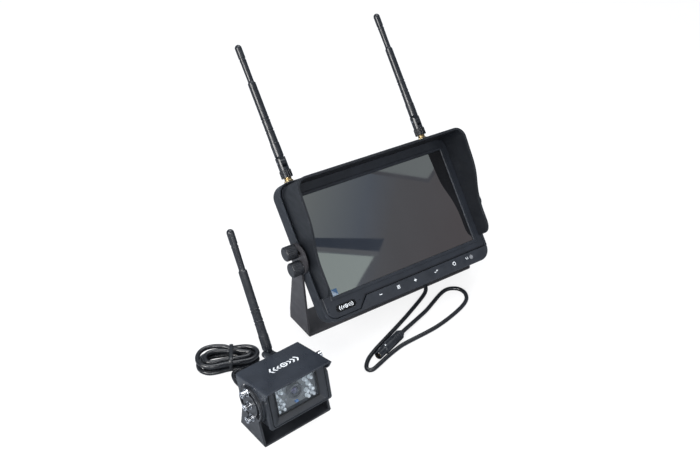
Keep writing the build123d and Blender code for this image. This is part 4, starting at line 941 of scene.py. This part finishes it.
def mirrored(u, v, distance):
    """Where the line of sight to (u, v) on the glass lands after it is reflected, distance metres on."""
    spot = SCREEN.at(u, v, GLASS_TOP)
    sight = (spot - EYE).normalized()
    away = sight - SCREEN.n * 2 * sight.dot(SCREEN.n)
    middle_spot = SCREEN.at(0, 0, GLASS_TOP)
    middle_sight = (middle_spot - EYE).normalized()
    axis = middle_sight - SCREEN.n * 2 * middle_sight.dot(SCREEN.n)
    return spot + away * ((distance - (spot - middle_spot).dot(axis)) / away.dot(axis))


glass_only = bpy.data.collections.new("glass_only")
glass_only.objects.link(nodes["lcd_glass"])


def card(name, outline, distance, material):
    """A glowing card whose mirror image fills an outline on the screen glass."""
    corners = [mirrored(u, v, distance) for u, v in outline]
    made = stage_mesh(name, corners, [tuple(range(len(corners)))], material)
    made.light_linking.receiver_collection = glass_only
    made.visible_camera = False
    made.visible_diffuse = False
    made.visible_shadow = False
    made.visible_transmission = False
    return made


def card_gradient():
    """The wide card behind the others: brighter and cooler on one side."""
    material = glow("card_wide", (1, 1, 1, 1), 1.0)
    tree = material.node_tree
    place = tree.nodes.new("ShaderNodeTexCoord").outputs["Object"]
    far_left, far_right = mirrored(-78, 45, 1.0), mirrored(60, -30, 1.0)
    along = (far_right - far_left).normalized()
    dot = tree.nodes.new("ShaderNodeVectorMath")
    dot.operation = "DOT_PRODUCT"
    dot.inputs[1].default_value = along
    tree.links.new(place, dot.inputs[0])
    span = tree.nodes.new("ShaderNodeMapRange")
    span.inputs["From Min"].default_value = far_left.dot(along)
    span.inputs["From Max"].default_value = far_right.dot(along)
    tree.links.new(dot.outputs["Value"], span.inputs["Value"])
    ramp = tree.nodes.new("ShaderNodeValToRGB")
    ramp.color_ramp.elements[0].color = (0.130, 0.142, 0.142, 1)
    ramp.color_ramp.elements[1].color = (0.064, 0.058, 0.060, 1)
    blue = ramp.color_ramp.elements.new(0.42)
    blue.color = (0.070, 0.080, 0.096, 1)
    warm = ramp.color_ramp.elements.new(0.6)
    warm.color = (0.066, 0.066, 0.070, 1)
    tree.links.new(span.outputs[0], ramp.inputs[0])
    tree.links.new(ramp.outputs[0], tree.nodes["Emission"].inputs["Color"])
    tree.nodes["Emission"].inputs["Strength"].default_value = CARD_GAIN
    return material


CARD_GAIN = 23.0
card("card_wide", [(-150, -100), (170, -100), (170, 110), (-150, 110)], 1.0, card_gradient())
card(
    "card_low_left", [(-90, 4), (-78, -0.1), (-27, -21.3), (-55.4, -41), (-60, -60), (-100, -60)], 0.9,
    glow("card_low_left", (0.215, 0.245, 0.238, 1), CARD_GAIN),
)
card(
    "card_corner", [(6.7, 49), (54.4, 27.6), (63.6, 33.1), (80, 52), (80, 90), (0, 90)], 0.9,
    glow("card_corner", (0.118, 0.130, 0.132, 1), CARD_GAIN),
)
card(
    "card_band", [(-95, 17.5), (-76.3, 12.6), (-11, -9.8), (-22.4, -21.0), (-78.1, 1.6), (-95, 8)], 0.93,
    glow("card_band", (0.026, 0.032, 0.044, 1), CARD_GAIN),
)
card(
    "card_strip", [(-95, 11), (-77.7, 5.0), (-20.8, -18.6), (-22.9, -22.4), (-78, 1.4), (-95, 7)], 0.92,
    glow("card_strip", (0.080, 0.084, 0.092, 1), CARD_GAIN),
)
card(
    "card_corner_strip",
    [(-4.3, 50), (6.7, 49.6), (54.4, 27.4), (64, 33.2), (64.4, 29.6), (54.2, 23.6)],
    0.95,
    glow("card_corner_strip", (0.052, 0.053, 0.060, 1), CARD_GAIN),
)

world = bpy.data.worlds.new("studio")
bpy.context.scene.world = world
world.use_nodes = True
world_tree = world.node_tree
for index, (colour, strength) in enumerate((((0.80, 0.88, 1.0, 1), 0.34), ((1, 1, 1, 1), 0.95))):
    sky = world_tree.nodes["Background"] if index == 0 else world_tree.nodes.new("ShaderNodeBackground")
    sky.name = f"sky_{index}"
    sky.inputs["Color"].default_value = colour
    sky.inputs["Strength"].default_value = strength
choice = world_tree.nodes.new("ShaderNodeMixShader")
path = world_tree.nodes.new("ShaderNodeLightPath")
world_tree.links.new(path.outputs["Is Camera Ray"], choice.inputs[0])
world_tree.links.new(world_tree.nodes["sky_0"].outputs[0], choice.inputs[1])
world_tree.links.new(world_tree.nodes["sky_1"].outputs[0], choice.inputs[2])
world_tree.links.new(choice.outputs[0], world_tree.nodes["World Output"].inputs["Surface"])

bpy.context.scene.view_settings.view_transform = "Standard"
